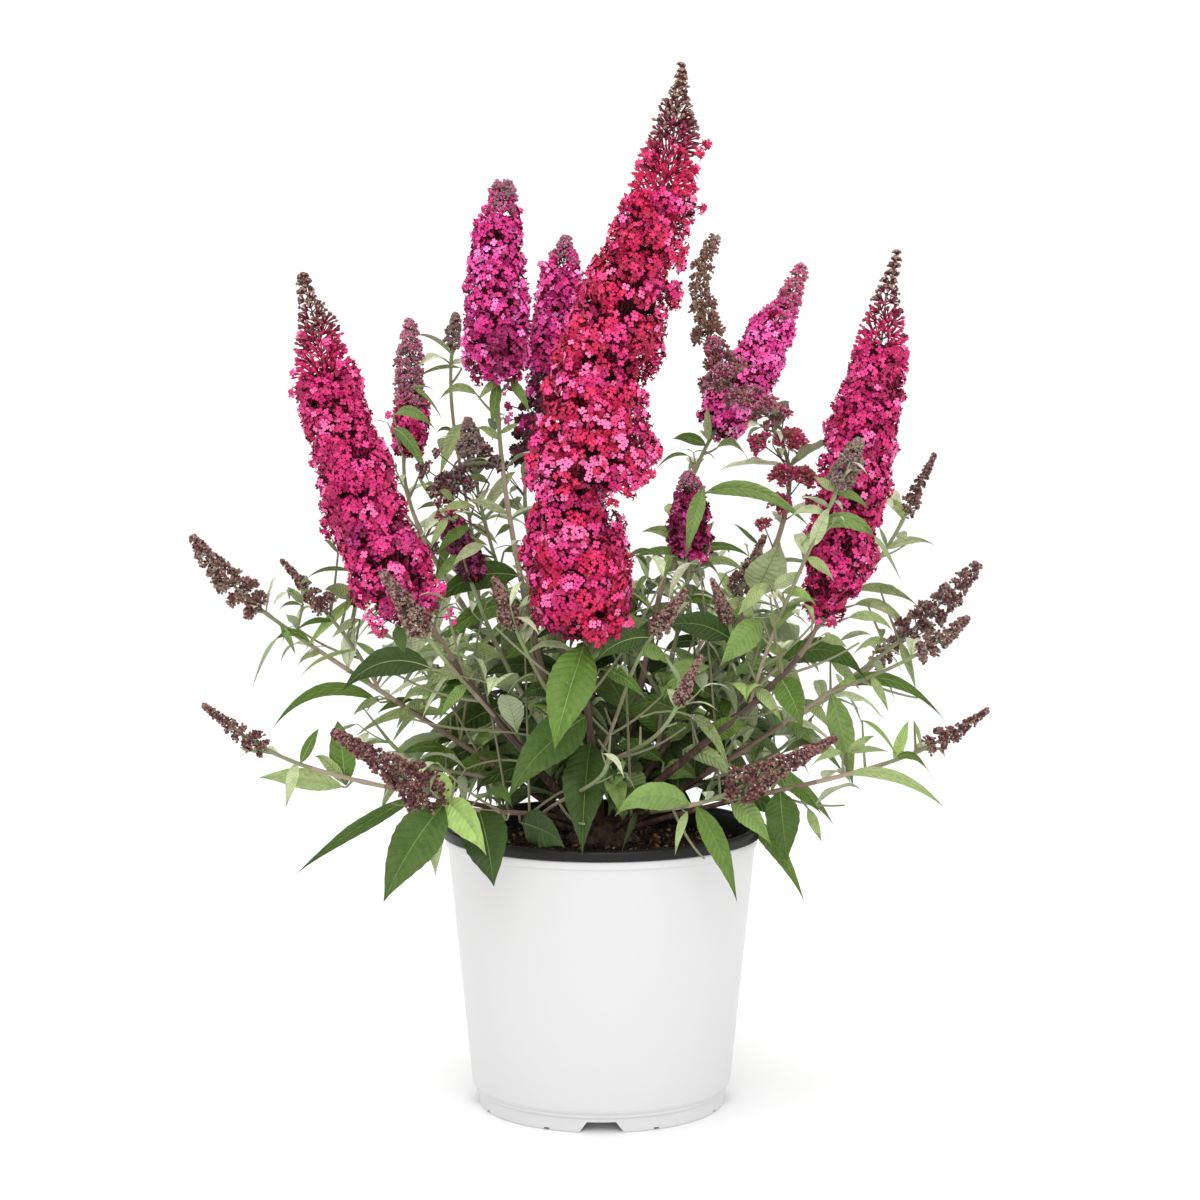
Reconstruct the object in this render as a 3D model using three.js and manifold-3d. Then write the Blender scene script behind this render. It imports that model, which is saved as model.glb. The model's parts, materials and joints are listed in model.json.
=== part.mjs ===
// A butterfly bush (Buddleja davidii) in its white nursery pot, in millimetres.
// +Z is up, -Y is the front, and the origin is the centre of the pot's flat underside.
// Canes fan out of one woody crown. Each cane ends at a fork, where the masses of foliage
// begin: a stem, side twigs, opposite leaves and a flower spike, all fused into one solid.

import * as THREE from 'three';
import { mergeVertices } from 'three/addons/utils/BufferGeometryUtils.js';
import Module from 'manifold-3d';

const wasm = await Module();
wasm.setup();

// ---------------------------------------------------------------------------
// Driving dimensions
// ---------------------------------------------------------------------------

const SEAT = 0.3;               // clearance between pieces that touch
const FINEST_EDGE = 0.02;       // shorter edges that a join leaves are closed up

// Pot, from the floor up.
const POT_SIDES = 30;
const POT_WALL = 2;
const BASE_RADIUS = 88;         // foot ring, outside
const FOOT_HEIGHT = 10.5;       // top of the straight foot ring
const FOOT_WIDTH = 7.5;
const FLOOR_DISC = 66;          // flat disc that the pot also stands on
const CHANNEL_DEPTH = 9;        // drain channel between disc and foot ring
const SHOULDER_RADIUS = 92.2;   // lowest edge of the sloping wall
const SHOULDER_HEIGHT = 15.2;
const WALL_TOP_RADIUS = 109.2;
const WALL_TOP = 185.4;
const COLLAR_RADIUS = 110.9;
const COLLAR_TOP = 191.6;
const RIM_RADIUS = 112.9;
const RIM_TOP = 199.2;
const LINER_WALL = 1.6;         // black inner skirt of the rim
const LINER_BOTTOM = 172;
const NOTCH_HEIGHT = 9.6;
const NOTCH_TOP_WIDTH = 20;
const NOTCH_BOTTOM_WIDTH = 31;
const NOTCH_COUNT = 4;
const NICK_HEIGHT = 1.8;
const NICK_WIDTH = 4;
const NICK_ANGLE = 25.5;        // degrees to each side of a notch

// Soil and woody crown.
const SOIL_EDGE = 184;
const SOIL_TOP = 188;
const CROWN_FLAT = 34;          // level patch of soil under the crown
const CROWN_RADIUS = 27;
const CROWN_HEIGHT = 17;
const CROWN_SIDES = 14;
const OUTER_RING = 20;          // where low canes leave the crown
const INNER_RING = 11.5;        // where upright canes leave it

// Plant growth.
const SEED = 7000;
const SEED_STEP = 37;

// Canes and stems.
const CANE_SIDES = 5;
const CANE_STEPS = 4;
const CANE_FLARE = 1.15;        // foot of a cane against its stated diameter
const CANE_PULL = [0.36, 0.24]; // how far a cane keeps its first and its last direction
const STEM_SIDES = 3;
const STEM_STEP = 52;
const STEM_SHARE = 0.86;        // stem radius at a fork against its cane's
const STEM_TIP_RADIUS = 1.3;
const SIDE_PULL = [0.4, 0.3];
const SIDE_SHARE = 0.75;        // stem radius of a side shoot against its carrier's
const FORK_BACK = 0.05;         // side shoots leave a cane this share below its tip

// Flower spikes.
const SPIKE_OVERLAP = 2.5;      // length of stem sunk into its spike
const BLOOM_SIDES = 7;
const BLOOM_STEP = 23;
const BLOOM_RIB = 0.07;         // knobbly skin, share of the radius
const BUD_SIDES = 4;
const BUD_STEP = 9.5;
const BUD_RIB = 0.08;
const BUD_WAIST = 0.5;          // radius between the knots of a bud spike

// Twigs.
const TWIG_SIDES = 3;
const TWIG_RADIUS = 1.5;
const TWIG_TIP_RADIUS = 0.9;
const TWIG_OPEN = [40, 58];     // degrees off its stem
const TWIG_LENGTH = [0.7, 1.2];
const TWIG_LIFT = [0.1, 0.35];
const TWIG_JOINT = 34;          // spacing of leaf pairs on a twig
const TWIG_TURN = 0.5;          // radians that a twig stands round from its leaf
const TWIG_LEAF = 0.72;         // leaves on a twig against those on the stem
const TWIG_TRIES = [1, 0.65];   // shares of a twig's length
const TWIG_TESTS = [0.25, 0.4, 0.6, 0.8, 1];

// Leaves.
const LEAF_OPEN = [46, 72];     // degrees off its stem
const LEAF_LENGTH = [0.82, 1.18];
const LEAF_SLENDER = [0.32, 0.44];
const LEAF_DROOP = [0.22, 0.64];
const LEAF_ROLL = [-24, 24];    // degrees
const LEAF_THICKNESS = 0.024;   // of the leaf's length
const LEAF_WIDEST = 0.42;       // where along the leaf it is widest
const LEAF_INSET = 0.2;         // a leaf's root lies this far from its stem's axis
const LEAF_TRIES = [[1, 0], [0.76, 16]];   // share of its size, degrees closer in
const LEAF_TESTS = [0.18, 0.35, LEAF_WIDEST, 0.6, 0.8, 1];

// The space that each mass keeps to.
const CELL_MARGIN = 1.4;        // distance that a mass keeps from its neighbours' space
const LIMB_MARGIN = 2.2;        // distance that leaves and twigs keep from canes
const AXIS_STEP = 11;           // spacing of the points that mark a mass's own space
const CANE_MARK_STEPS = 40;

// Every shoot: heel and tip of its flower spike, bow of the spike's middle off its chord,
// full width of the spike. A shoot with `foot` has its own cane: [bearing in degrees, ring
// radius, rise in degrees, cane diameter, fork along the cane]. A shoot with `from` forks off
// that shoot's cane; one with `on` is fused to that shoot's stem at the given share of it.
const SHOOTS = [
  { name: 'spire_centre', kind: 'bloom', heel: [-11, -95, 340], tip: [53, -45, 728],
    bow: [-12, -9, 3], width: 84, foot: [-97, INNER_RING, 64, 6.4, 0.3] },
  { name: 'spire_left', kind: 'bloom', heel: [-117, -78, 352], tip: [-210, -30, 588],
    bow: [-7, -3, -2], width: 68, foot: [-143, INNER_RING, 46, 6.2, 0.34] },
  { name: 'spire_back_left', kind: 'bloom', heel: [-75, 55, 514], tip: [-71, 60, 658],
    bow: [0, 0, 0], width: 48, foot: [168, INNER_RING, 70, 5.4, 0.2] },
  { name: 'spire_back', kind: 'bloom', heel: [-54, 70, 449], tip: [-26, 115, 622],
    bow: [3, 2, -1], width: 42, foot: [92, INNER_RING, 70, 5.2, 0.24] },
  { name: 'spire_back_right', kind: 'bloom', heel: [84, 90, 477], tip: [152, 140, 603],
    bow: [3, -1, -1], width: 43, foot: [50, INNER_RING, 66, 5.4, 0.24] },
  { name: 'fading_spire', kind: 'bud', heel: [121, 10, 479], tip: [81, 20, 618],
    bow: [-16, 0, -4], width: 31, foot: [8, INNER_RING, 60, 5.6, 0.24] },
  { name: 'spire_right', kind: 'bloom', heel: [150, -55, 352], tip: [204, -15, 603],
    bow: [4, 0, 0], width: 56, foot: [-36, INNER_RING, 50, 6.2, 0.4] },
  { name: 'spire_far_left', kind: 'bloom', heel: [-146, 95, 461], tip: [-143, 115, 558],
    bow: [2, 0, 0], width: 31, foot: [131, INNER_RING, 60, 4.8, 0.26] },
  { name: 'spire_inner_right', kind: 'bloom', heel: [63, 15, 389], tip: [61, 20, 450],
    bow: [1, 0, 0], width: 35, from: 'fading_spire' },
  { name: 'spire_inner_left', kind: 'bloom', heel: [-93, 10, 372], tip: [-116, 30, 435],
    bow: [0, 0, 0], width: 33, from: 'spire_back_left' },
  { name: 'spire_far_back', kind: 'bloom', heel: [-12, 152, 428], tip: [10, 190, 545],
    bow: [0, 3, 0], width: 46, from: 'spire_back' },
  { name: 'spire_rear_left', kind: 'bloom', heel: [-163, 122, 380], tip: [-195, 152, 492],
    bow: [-3, 2, 0], width: 40, from: 'spire_far_left' },
  { name: 'spire_rear_right', kind: 'bloom', heel: [166, 106, 384], tip: [198, 148, 492],
    bow: [3, 2, 0], width: 40, from: 'bud_rear_right' },

  { name: 'bud_left', kind: 'bud', heel: [-236, -30, 354], tip: [-282, -40, 406],
    bow: [-2, 0, -2], width: 19, foot: [176, OUTER_RING, 38, 4.4, 0.26] },
  { name: 'bud_left_young', kind: 'bud', heel: [-196, -25, 357], tip: [-222, -30, 389],
    bow: [0, 0, 0], width: 13, on: 'bud_left', at: 0.45 },
  { name: 'bud_left_low', kind: 'bud', heel: [-228, -70, 262], tip: [-271, -80, 295],
    bow: [-1, 0, -1], width: 16, foot: [-158, OUTER_RING, 22, 4, 0.36] },
  { name: 'bud_front_left', kind: 'bud', heel: [-104, -125, 236], tip: [-173, -165, 287],
    bow: [0, 0, -1], width: 27, foot: [-126, OUTER_RING, 34, 4, 0.42] },
  { name: 'bud_front_right', kind: 'bud', heel: [80, -130, 240], tip: [151, -160, 282],
    bow: [0, 0, -1], width: 22, foot: [-62, OUTER_RING, 34, 4, 0.42] },
  { name: 'bud_right', kind: 'bud', heel: [211, 0, 330], tip: [267, 0, 385],
    bow: [1, 0, -1], width: 19, foot: [4, OUTER_RING, 34, 4.4, 0.26] },
  { name: 'bud_right_young', kind: 'bud', heel: [219, -25, 322], tip: [255, -30, 349],
    bow: [1, 0, -1], width: 13, on: 'bud_right', at: 0.6 },
  { name: 'bud_right_low', kind: 'bud', heel: [225, -40, 259], tip: [268, -50, 288],
    bow: [1, 0, -1], width: 15, foot: [-22, OUTER_RING, 22, 4, 0.36] },
  { name: 'bud_upper_right', kind: 'bud', heel: [219, 40, 417], tip: [241, 45, 462],
    bow: [0, 0, 0], width: 14, on: 'spire_right', at: 0.06 },
  { name: 'bud_before_right', kind: 'bud', heel: [158, -84, 439], tip: [172, -92, 473],
    bow: [0, 0, 0], width: 17, on: 'spire_right', at: 0.3 },
  { name: 'bud_upper_left', kind: 'bud', heel: [-112, 125, 537], tip: [-109, 128, 565],
    bow: [0, 0, 0], width: 11, on: 'spire_far_left', at: 0.3 },
  { name: 'bud_behind_left', kind: 'bud', heel: [-92, 62, 446], tip: [-98, 67, 487],
    bow: [0, 0, 0], width: 18, on: 'spire_back_left', at: 0.1 },
  { name: 'bud_before_left', kind: 'bud', heel: [-115, -126, 345], tip: [-144, -136, 389],
    bow: [0, 0, 0], width: 21, on: 'spire_left', at: 0.3 },
  { name: 'bud_centre_left', kind: 'bud', heel: [-57, -95, 346], tip: [-72, -100, 382],
    bow: [0, 0, 0], width: 19, on: 'spire_centre', at: 0.1 },
  { name: 'bud_centre_right', kind: 'bud', heel: [34, -100, 343], tip: [56, -105, 374],
    bow: [0, 0, 0], width: 17, on: 'spire_centre', at: 0.05 },
  { name: 'bud_centre_young', kind: 'bud', heel: [50, -125, 299], tip: [65, -135, 333],
    bow: [0, 0, 0], width: 13, on: 'spire_centre', at: 0.02 },
  { name: 'bud_inner_right', kind: 'bud', heel: [88, -50, 346], tip: [76, -50, 377],
    bow: [0, 0, 0], width: 14, on: 'fading_spire', at: 0.05 },

  { name: 'bud_rear_left', kind: 'bud', heel: [-150, 150, 352], tip: [-188, 178, 396],
    bow: [-2, 2, -1], width: 19, foot: [141, OUTER_RING, 40, 4.2, 0.28] },
  { name: 'bud_rear', kind: 'bud', heel: [-48, 205, 328], tip: [-60, 250, 374],
    bow: [0, 2, -2], width: 19, foot: [104, OUTER_RING, 38, 4.2, 0.28] },
  { name: 'bud_rear_right', kind: 'bud', heel: [102, 192, 346], tip: [130, 232, 392],
    bow: [1, 2, -2], width: 19, foot: [66, OUTER_RING, 40, 4.2, 0.28] },
  { name: 'bud_far_right', kind: 'bud', heel: [204, 112, 300], tip: [236, 132, 340],
    bow: [2, 0, -2], width: 16, foot: [34, OUTER_RING, 30, 4, 0.32] },

  { name: 'leafy_front', kind: 'leafy', heel: [4, -128, 262], tip: [6, -150, 284],
    bow: [0, 0, 0], width: 3, from: 'bud_front_left' },
  { name: 'leafy_left', kind: 'leafy', heel: [-150, -20, 262], tip: [-168, -22, 286],
    bow: [0, 0, 0], width: 3, from: 'bud_left' },
  { name: 'leafy_right', kind: 'leafy', heel: [140, 30, 258], tip: [160, 34, 280],
    bow: [0, 0, 0], width: 3, from: 'bud_right' },
  { name: 'leafy_rear_left', kind: 'leafy', heel: [-96, 118, 262], tip: [-110, 136, 284],
    bow: [0, 0, 0], width: 3, from: 'bud_rear_left' },
  { name: 'leafy_rear', kind: 'leafy', heel: [24, 148, 262], tip: [28, 170, 284],
    bow: [0, 0, 0], width: 3, from: 'bud_rear' },
  { name: 'leafy_rear_right', kind: 'leafy', heel: [118, 108, 262], tip: [134, 124, 284],
    bow: [0, 0, 0], width: 3, from: 'bud_far_right' },
];

// Leaves and side twigs by kind of shoot: spacing of leaf pairs, longest leaf, number of
// side twigs and their length.
const GROWTH = {
  bloom: { internode: 40, leaf: 88, twigs: 2, twigLength: 84 },
  bud: { internode: 38, leaf: 80, twigs: 1, twigLength: 66 },
  leafy: { internode: 28, leaf: 88, twigs: 1, twigLength: 60 },
};

// ---------------------------------------------------------------------------
// Materials
// ---------------------------------------------------------------------------

function finish(color, roughness) {
  return new THREE.MeshStandardMaterial({ color, roughness, metalness: 0 });
}

const materials = {
  pot: finish(0xf4f4f3, 0.35),
  rim: finish(0x17171a, 0.45),
  soil: finish(0x2b1d14, 0.95),
  bark: finish(0x5b4138, 0.8),
  leaf: finish(0x5f8a4e, 0.6),
  bloom: finish(0xd61f72, 0.6),
  bud: finish(0x6a4a52, 0.75),
};

// ---------------------------------------------------------------------------
// Solids
// ---------------------------------------------------------------------------

const UP = new THREE.Vector3(0, 0, 1);

function vector([x, y, z]) {
  return new THREE.Vector3(x, y, z);
}

function radians(degrees) {
  return degrees * Math.PI / 180;
}

// A seeded draw between 0 and 1.
function seeded(seed) {
  let state = seed >>> 0;
  return () => {
    state = (state + 0x6d2b79f5) >>> 0;
    let bits = Math.imul(state ^ (state >>> 15), state | 1);
    bits ^= bits + Math.imul(bits ^ (bits >>> 7), bits | 61);
    return ((bits ^ (bits >>> 14)) >>> 0) / 4294967296;
  };
}

function between(random, [least, most]) {
  return least + (most - least) * random();
}

// A closed triangle geometry as a manifold solid, without the slivers at a lathe's poles.
function solidOf(geometry) {
  const bare = geometry.clone();
  bare.deleteAttribute('normal');
  bare.deleteAttribute('uv');
  const merged = mergeVertices(bare, 1e-4);
  const corners = merged.index.array;
  const kept = [];
  for (let i = 0; i < corners.length; i += 3) {
    const [a, b, c] = [corners[i], corners[i + 1], corners[i + 2]];
    if (a !== b && b !== c && c !== a) {
      kept.push(a, b, c);
    }
  }
  return new wasm.Manifold(new wasm.Mesh({
    numProp: 3,
    vertProperties: new Float32Array(merged.attributes.position.array),
    triVerts: new Uint32Array(kept),
  }));
}

// The largest body of a solid, without the scraps that a cut leaves.
function mainBody(solid) {
  const bodies = solid.decompose();
  return bodies.reduce((largest, body) => (body.volume() > largest.volume() ? body : largest));
}

function geometryOf(solid) {
  const mesh = solid.getMesh();
  const geometry = new THREE.BufferGeometry();
  geometry.setAttribute('position', new THREE.BufferAttribute(mesh.vertProperties, 3));
  geometry.setIndex(new THREE.BufferAttribute(mesh.triVerts, 1));
  return geometry;
}

function geometryFrom(points, faces) {
  const geometry = new THREE.BufferGeometry();
  geometry.setFromPoints(points);
  geometry.setIndex(faces.flat());
  return geometry;
}

// A solid of revolution about Z from [radius, height] pairs that start and end on the axis
// or close on themselves, listed so that the material lies to the left.
function turned(profile, sides) {
  const geometry = new THREE.LatheGeometry(profile.map(([r, z]) => new THREE.Vector2(r, z)), sides);
  geometry.rotateX(Math.PI / 2);
  return solidOf(geometry);
}

// A closed tube along a curve, from share `first` to share `last` of it and a little beyond,
// with a radius for each share, and with a knobbly skin when `rib` is set.
function tube(curve, first, last, radiusAt, sides, steps, { rib = 0, beyond = 0 } = {}) {
  const points = [];
  const faces = [];
  let across = null;
  for (let i = 0; i <= steps; i += 1) {
    const share = first + (last - first) * i / steps;
    const along = curve.getTangent(share);
    if (across === null) {
      across = new THREE.Vector3().crossVectors(along, Math.abs(along.x) < 0.9
        ? new THREE.Vector3(1, 0, 0) : new THREE.Vector3(0, 1, 0)).normalize();
    } else {
      across.addScaledVector(along, -across.dot(along)).normalize();
    }
    const other = new THREE.Vector3().crossVectors(along, across);
    const centre = curve.getPoint(share).addScaledVector(along, i === steps ? beyond : 0);
    const radius = radiusAt(share);
    for (let k = 0; k < sides; k += 1) {
      const turn = (k + (rib ? 0.5 * (i % 2) : 0)) * 2 * Math.PI / sides;
      const reach = radius * (1 + rib * (((k * 7 + i * 5) % 3) - 1));
      points.push(centre.clone()
        .addScaledVector(across, reach * Math.cos(turn))
        .addScaledVector(other, reach * Math.sin(turn)));
    }
  }
  for (let i = 0; i < steps; i += 1) {
    for (let k = 0; k < sides; k += 1) {
      const next = (k + 1) % sides;
      const low = i * sides;
      const high = low + sides;
      faces.push([low + k, low + next, high + next], [low + k, high + next, high + k]);
    }
  }
  const top = steps * sides;
  for (let k = 1; k < sides - 1; k += 1) {
    faces.push([0, k + 1, k], [top, top + k, top + k + 1]);
  }
  return solidOf(geometryFrom(points, faces));
}

// ---------------------------------------------------------------------------
// Pot, rim, soil and crown
// ---------------------------------------------------------------------------

// Radius of the sloping wall's outside at a height.
function wallRadius(height) {
  const slope = (WALL_TOP_RADIUS - SHOULDER_RADIUS) / (WALL_TOP - SHOULDER_HEIGHT);
  return SHOULDER_RADIUS + slope * (height - SHOULDER_HEIGHT);
}

// A wedge-sided block that cuts a drain notch, wider at the bottom.
function notchCutter(height, topWidth, bottomWidth, depth) {
  const shape = new THREE.Shape([
    new THREE.Vector2(-bottomWidth / 2, -1),
    new THREE.Vector2(bottomWidth / 2, -1),
    new THREE.Vector2(topWidth / 2, height),
    new THREE.Vector2(-topWidth / 2, height),
  ]);
  const geometry = new THREE.ExtrudeGeometry(shape, { depth, bevelEnabled: false });
  geometry.rotateX(Math.PI / 2);
  geometry.translate(0, -BASE_RADIUS + FOOT_WIDTH + 2, 0);
  return geometry;
}

function makePot() {
  const inner = POT_WALL;
  const channelRoof = CHANNEL_DEPTH + inner;
  let pot = turned([
    [0, 0],
    [FLOOR_DISC, 0],
    [FLOOR_DISC + 2, CHANNEL_DEPTH],
    [BASE_RADIUS - FOOT_WIDTH - 1.5, CHANNEL_DEPTH],
    [BASE_RADIUS - FOOT_WIDTH, 0],
    [BASE_RADIUS, 0],
    [BASE_RADIUS, FOOT_HEIGHT],
    [SHOULDER_RADIUS, SHOULDER_HEIGHT],
    [WALL_TOP_RADIUS, WALL_TOP],
    [COLLAR_RADIUS, WALL_TOP + 1],
    [COLLAR_RADIUS, COLLAR_TOP],
    [wallRadius(COLLAR_TOP) - inner, COLLAR_TOP],
    [wallRadius(channelRoof) - inner, channelRoof],
    [FLOOR_DISC, channelRoof],
    [FLOOR_DISC - 2.5, inner + 0.5],
    [0, inner + 0.5],
  ], POT_SIDES);
  const depth = FOOT_WIDTH + 6;
  const notch = notchCutter(NOTCH_HEIGHT - inner, NOTCH_TOP_WIDTH, NOTCH_BOTTOM_WIDTH, depth);
  const nick = notchCutter(NICK_HEIGHT, NICK_WIDTH, NICK_WIDTH, depth);
  for (let k = 0; k < NOTCH_COUNT; k += 1) {
    const bearing = 360 * k / NOTCH_COUNT;
    pot = pot.subtract(solidOf(notch.clone().rotateZ(radians(bearing))));
    for (const side of [-1, 1]) {
      pot = pot.subtract(solidOf(nick.clone().rotateZ(radians(bearing + side * NICK_ANGLE))));
    }
  }
  return pot;
}

// Outside of the rim's inner skirt at a height, clear of the white wall.
function linerRadius(height) {
  return wallRadius(height) - POT_WALL - SEAT;
}

// Black rolled rim that caps the wall, with the black skirt inside the pot.
function makeRim() {
  return turned([
    [linerRadius(LINER_BOTTOM), LINER_BOTTOM],
    [linerRadius(COLLAR_TOP + SEAT), COLLAR_TOP + SEAT],
    [RIM_RADIUS, COLLAR_TOP + SEAT],
    [RIM_RADIUS, RIM_TOP - 2.6],
    [RIM_RADIUS - 1.6, RIM_TOP],
    [linerRadius(RIM_TOP), RIM_TOP],
    [linerRadius(RIM_TOP - 3) - LINER_WALL, RIM_TOP - 3],
    [linerRadius(LINER_BOTTOM) - LINER_WALL, LINER_BOTTOM],
    [linerRadius(LINER_BOTTOM), LINER_BOTTOM],
  ], POT_SIDES);
}

function makeSoil() {
  const gap = POT_WALL + SEAT;
  const floor = POT_WALL + 0.5 + SEAT;
  const ledge = CHANNEL_DEPTH + POT_WALL + SEAT;
  const neck = linerRadius(LINER_BOTTOM) - LINER_WALL - SEAT;
  return turned([
    [0, floor],
    [FLOOR_DISC - 3, floor],
    [FLOOR_DISC - 0.6, ledge],
    [wallRadius(ledge) - gap - 0.4, ledge],
    [wallRadius(LINER_BOTTOM - 6) - gap - 0.4, LINER_BOTTOM - 6],
    [neck, LINER_BOTTOM - 1],
    [neck, SOIL_EDGE],
    [CROWN_FLAT + 24, SOIL_EDGE + 2.5],
    [CROWN_FLAT, SOIL_TOP],
    [0, SOIL_TOP],
  ], POT_SIDES);
}

function crownProfile(grown) {
  const base = SOIL_TOP + SEAT - grown;
  return [
    [0, base],
    [CROWN_RADIUS + grown, base],
    [CROWN_RADIUS * 0.84 + grown, base + 4 + grown],
    [CROWN_RADIUS * 0.7 + grown, base + 9 + 2 * grown],
    [CROWN_RADIUS * 0.5 + grown, base + CROWN_HEIGHT - 2 + 2 * grown],
    [0, base + CROWN_HEIGHT + 2 * grown],
  ];
}

// ---------------------------------------------------------------------------
// Courses of canes, stems and spikes
// ---------------------------------------------------------------------------

const shootByName = new Map(SHOOTS.map((shoot) => [shoot.name, shoot]));

// Bezier curve of a flower spike, bowed off its chord.
function spikeCurve(shoot) {
  const heel = vector(shoot.heel);
  const tip = vector(shoot.tip);
  const middle = heel.clone().lerp(tip, 0.5).addScaledVector(vector(shoot.bow), 2);
  return new THREE.QuadraticBezierCurve3(heel, middle, tip);
}

// Cubic course from a start and its direction to the heel of the shoot's spike.
function course(start, direction, shoot, [pullStart, pullEnd]) {
  const heel = vector(shoot.heel);
  const reach = start.distanceTo(heel);
  const arrival = shoot.spike.getTangent(0);
  return new THREE.CubicBezierCurve3(
    start,
    start.clone().addScaledVector(direction, reach * pullStart),
    heel.clone().addScaledVector(arrival, -reach * pullEnd),
    heel,
  );
}

function caneCourse(shoot) {
  const [bearing, ring, rise] = shoot.foot;
  const outward = new THREE.Vector3(Math.cos(radians(bearing)), Math.sin(radians(bearing)), 0);
  const start = outward.clone().multiplyScalar(ring * 0.6).setZ(SOIL_TOP + 5);
  const direction = outward.clone().multiplyScalar(Math.cos(radians(rise)))
    .addScaledVector(UP, Math.sin(radians(rise)));
  return course(start, direction, shoot, CANE_PULL);
}

// A side shoot leaves the skin of its carrier, between the carrier's direction and its heel.
function sideCourse(shoot, carrier, share, skin) {
  const core = carrier.stem.getPoint(share);
  const along = carrier.stem.getTangent(share);
  const toward = vector(shoot.heel).sub(core).normalize();
  const outward = toward.clone().addScaledVector(along, -along.dot(toward)).normalize();
  const direction = along.multiplyScalar(0.2).add(toward).addScaledVector(outward, 0.25);
  return course(core.addScaledVector(outward, skin), direction.normalize(), shoot, SIDE_PULL);
}

for (const shoot of SHOOTS) {
  shoot.spike = spikeCurve(shoot);
  if (shoot.foot) {
    shoot.stem = caneCourse(shoot);
    shoot.fork = shoot.foot[4];
    shoot.forkRadius = shoot.foot[3] / 2 * STEM_SHARE;
  }
}
for (const shoot of SHOOTS) {
  if (shoot.from) {
    const carrier = shootByName.get(shoot.from);
    shoot.stem = sideCourse(shoot, carrier, carrier.fork - FORK_BACK, carrier.forkRadius * 0.9);
    shoot.fork = 0;
    shoot.forkRadius = carrier.forkRadius * SIDE_SHARE;
  }
}
for (const shoot of SHOOTS) {
  if (shoot.on) {
    const carrier = shootByName.get(shoot.on);
    const share = carrier.fork + (1 - carrier.fork) * shoot.at;
    shoot.stem = sideCourse(shoot, carrier, share, 0);
    shoot.fork = 0;
    shoot.forkRadius = STEM_TIP_RADIUS;
  }
}

function caneRadius(shoot, share) {
  const base = shoot.foot[3] / 2;
  return base * (CANE_FLARE - (CANE_FLARE - STEM_SHARE) * share / shoot.fork);
}

function stemRadius(shoot, share) {
  const passed = (share - shoot.fork) / (1 - shoot.fork);
  return shoot.forkRadius + (STEM_TIP_RADIUS - shoot.forkRadius) * passed;
}

// Half width of a spike along its length: full near its heel, then an ellipse to its tip.
function spikeRadius(shoot, share) {
  const swell = 0.62 + 0.38 * Math.min(1, share / 0.1);
  if (shoot.kind === 'bloom') {
    return shoot.width / 2 * swell * Math.sqrt(Math.max(0.004, 1 - share * share));
  }
  return shoot.width / 2 * swell * (1 - 0.72 * share);
}

// ---------------------------------------------------------------------------
// The space that each mass keeps to
// ---------------------------------------------------------------------------

// Points along a shoot's stem and spike, each with the radius that it fills.
function axisPoints(shoot) {
  const marks = [];
  const stemLength = shoot.stem.getLength() * (1 - shoot.fork);
  const stemSteps = Math.max(2, Math.ceil(stemLength / AXIS_STEP));
  for (let i = 0; i <= stemSteps; i += 1) {
    const share = shoot.fork + (1 - shoot.fork) * i / stemSteps;
    marks.push({ at: shoot.stem.getPoint(share), radius: stemRadius(shoot, share) });
  }
  const spikeSteps = Math.max(2, Math.ceil(shoot.spike.getLength() / AXIS_STEP));
  for (let i = 1; i <= spikeSteps; i += 1) {
    const share = i / spikeSteps;
    marks.push({ at: shoot.spike.getPoint(share), radius: spikeRadius(shoot, share) });
  }
  return marks;
}

function massOf(shoot) {
  return shoot.on || shoot.name;
}

const massAxes = new Map();
for (const shoot of SHOOTS) {
  const mass = massOf(shoot);
  massAxes.set(mass, [...(massAxes.get(mass) || []), ...axisPoints(shoot)]);
}

const caneMarks = [];
for (const shoot of SHOOTS) {
  if (shoot.foot) {
    for (let i = 0; i <= CANE_MARK_STEPS; i += 1) {
      const share = shoot.fork * i / CANE_MARK_STEPS;
      caneMarks.push({ at: shoot.stem.getPoint(share), radius: caneRadius(shoot, share) });
    }
  }
}

function clearance(point, marks) {
  let least = Infinity;
  for (const mark of marks) {
    least = Math.min(least, point.distanceTo(mark.at) - mark.radius);
  }
  return least;
}

// True where a point is in the mass's own space, clear of canes, crown, soil and pot.
function inSpace(mass, point, spare) {
  const across = Math.hypot(point.x, point.y);
  if (across < RIM_RADIUS + 2 && point.z < RIM_TOP + 1.5 + spare) {
    return false;
  }
  if (across < CROWN_RADIUS + 6 && point.z < SOIL_TOP + CROWN_HEIGHT + 8) {
    return false;
  }
  if (clearance(point, caneMarks) < LIMB_MARGIN + spare) {
    return false;
  }
  const own = clearance(point, massAxes.get(mass));
  for (const [other, marks] of massAxes) {
    if (other !== mass && clearance(point, marks) < own + CELL_MARGIN + spare) {
      return false;
    }
  }
  return true;
}

// ---------------------------------------------------------------------------
// Leaves, twigs and spikes
// ---------------------------------------------------------------------------

// A leaf as numbers: root, unit direction, side, length, width and droop.
function leafAt(root, direction, roll, length, width, droop) {
  const level = new THREE.Vector3().crossVectors(direction, UP);
  if (level.lengthSq() < 1e-4) {
    level.set(1, 0, 0);
  }
  const side = level.normalize().applyAxisAngle(direction, roll);
  return { root, direction, side, length, width, droop };
}

function leafPoint(leaf, share) {
  return leaf.root.clone()
    .addScaledVector(leaf.direction, leaf.length * share)
    .addScaledVector(UP, -leaf.droop * leaf.length * share * share);
}

// Half width of the blade along its length, as lance-shaped leaves have it.
function leafHalf(leaf, share) {
  return leaf.width / 2 * (share < LEAF_WIDEST ? share / LEAF_WIDEST
    : (1 - share) / (1 - LEAF_WIDEST));
}

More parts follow.
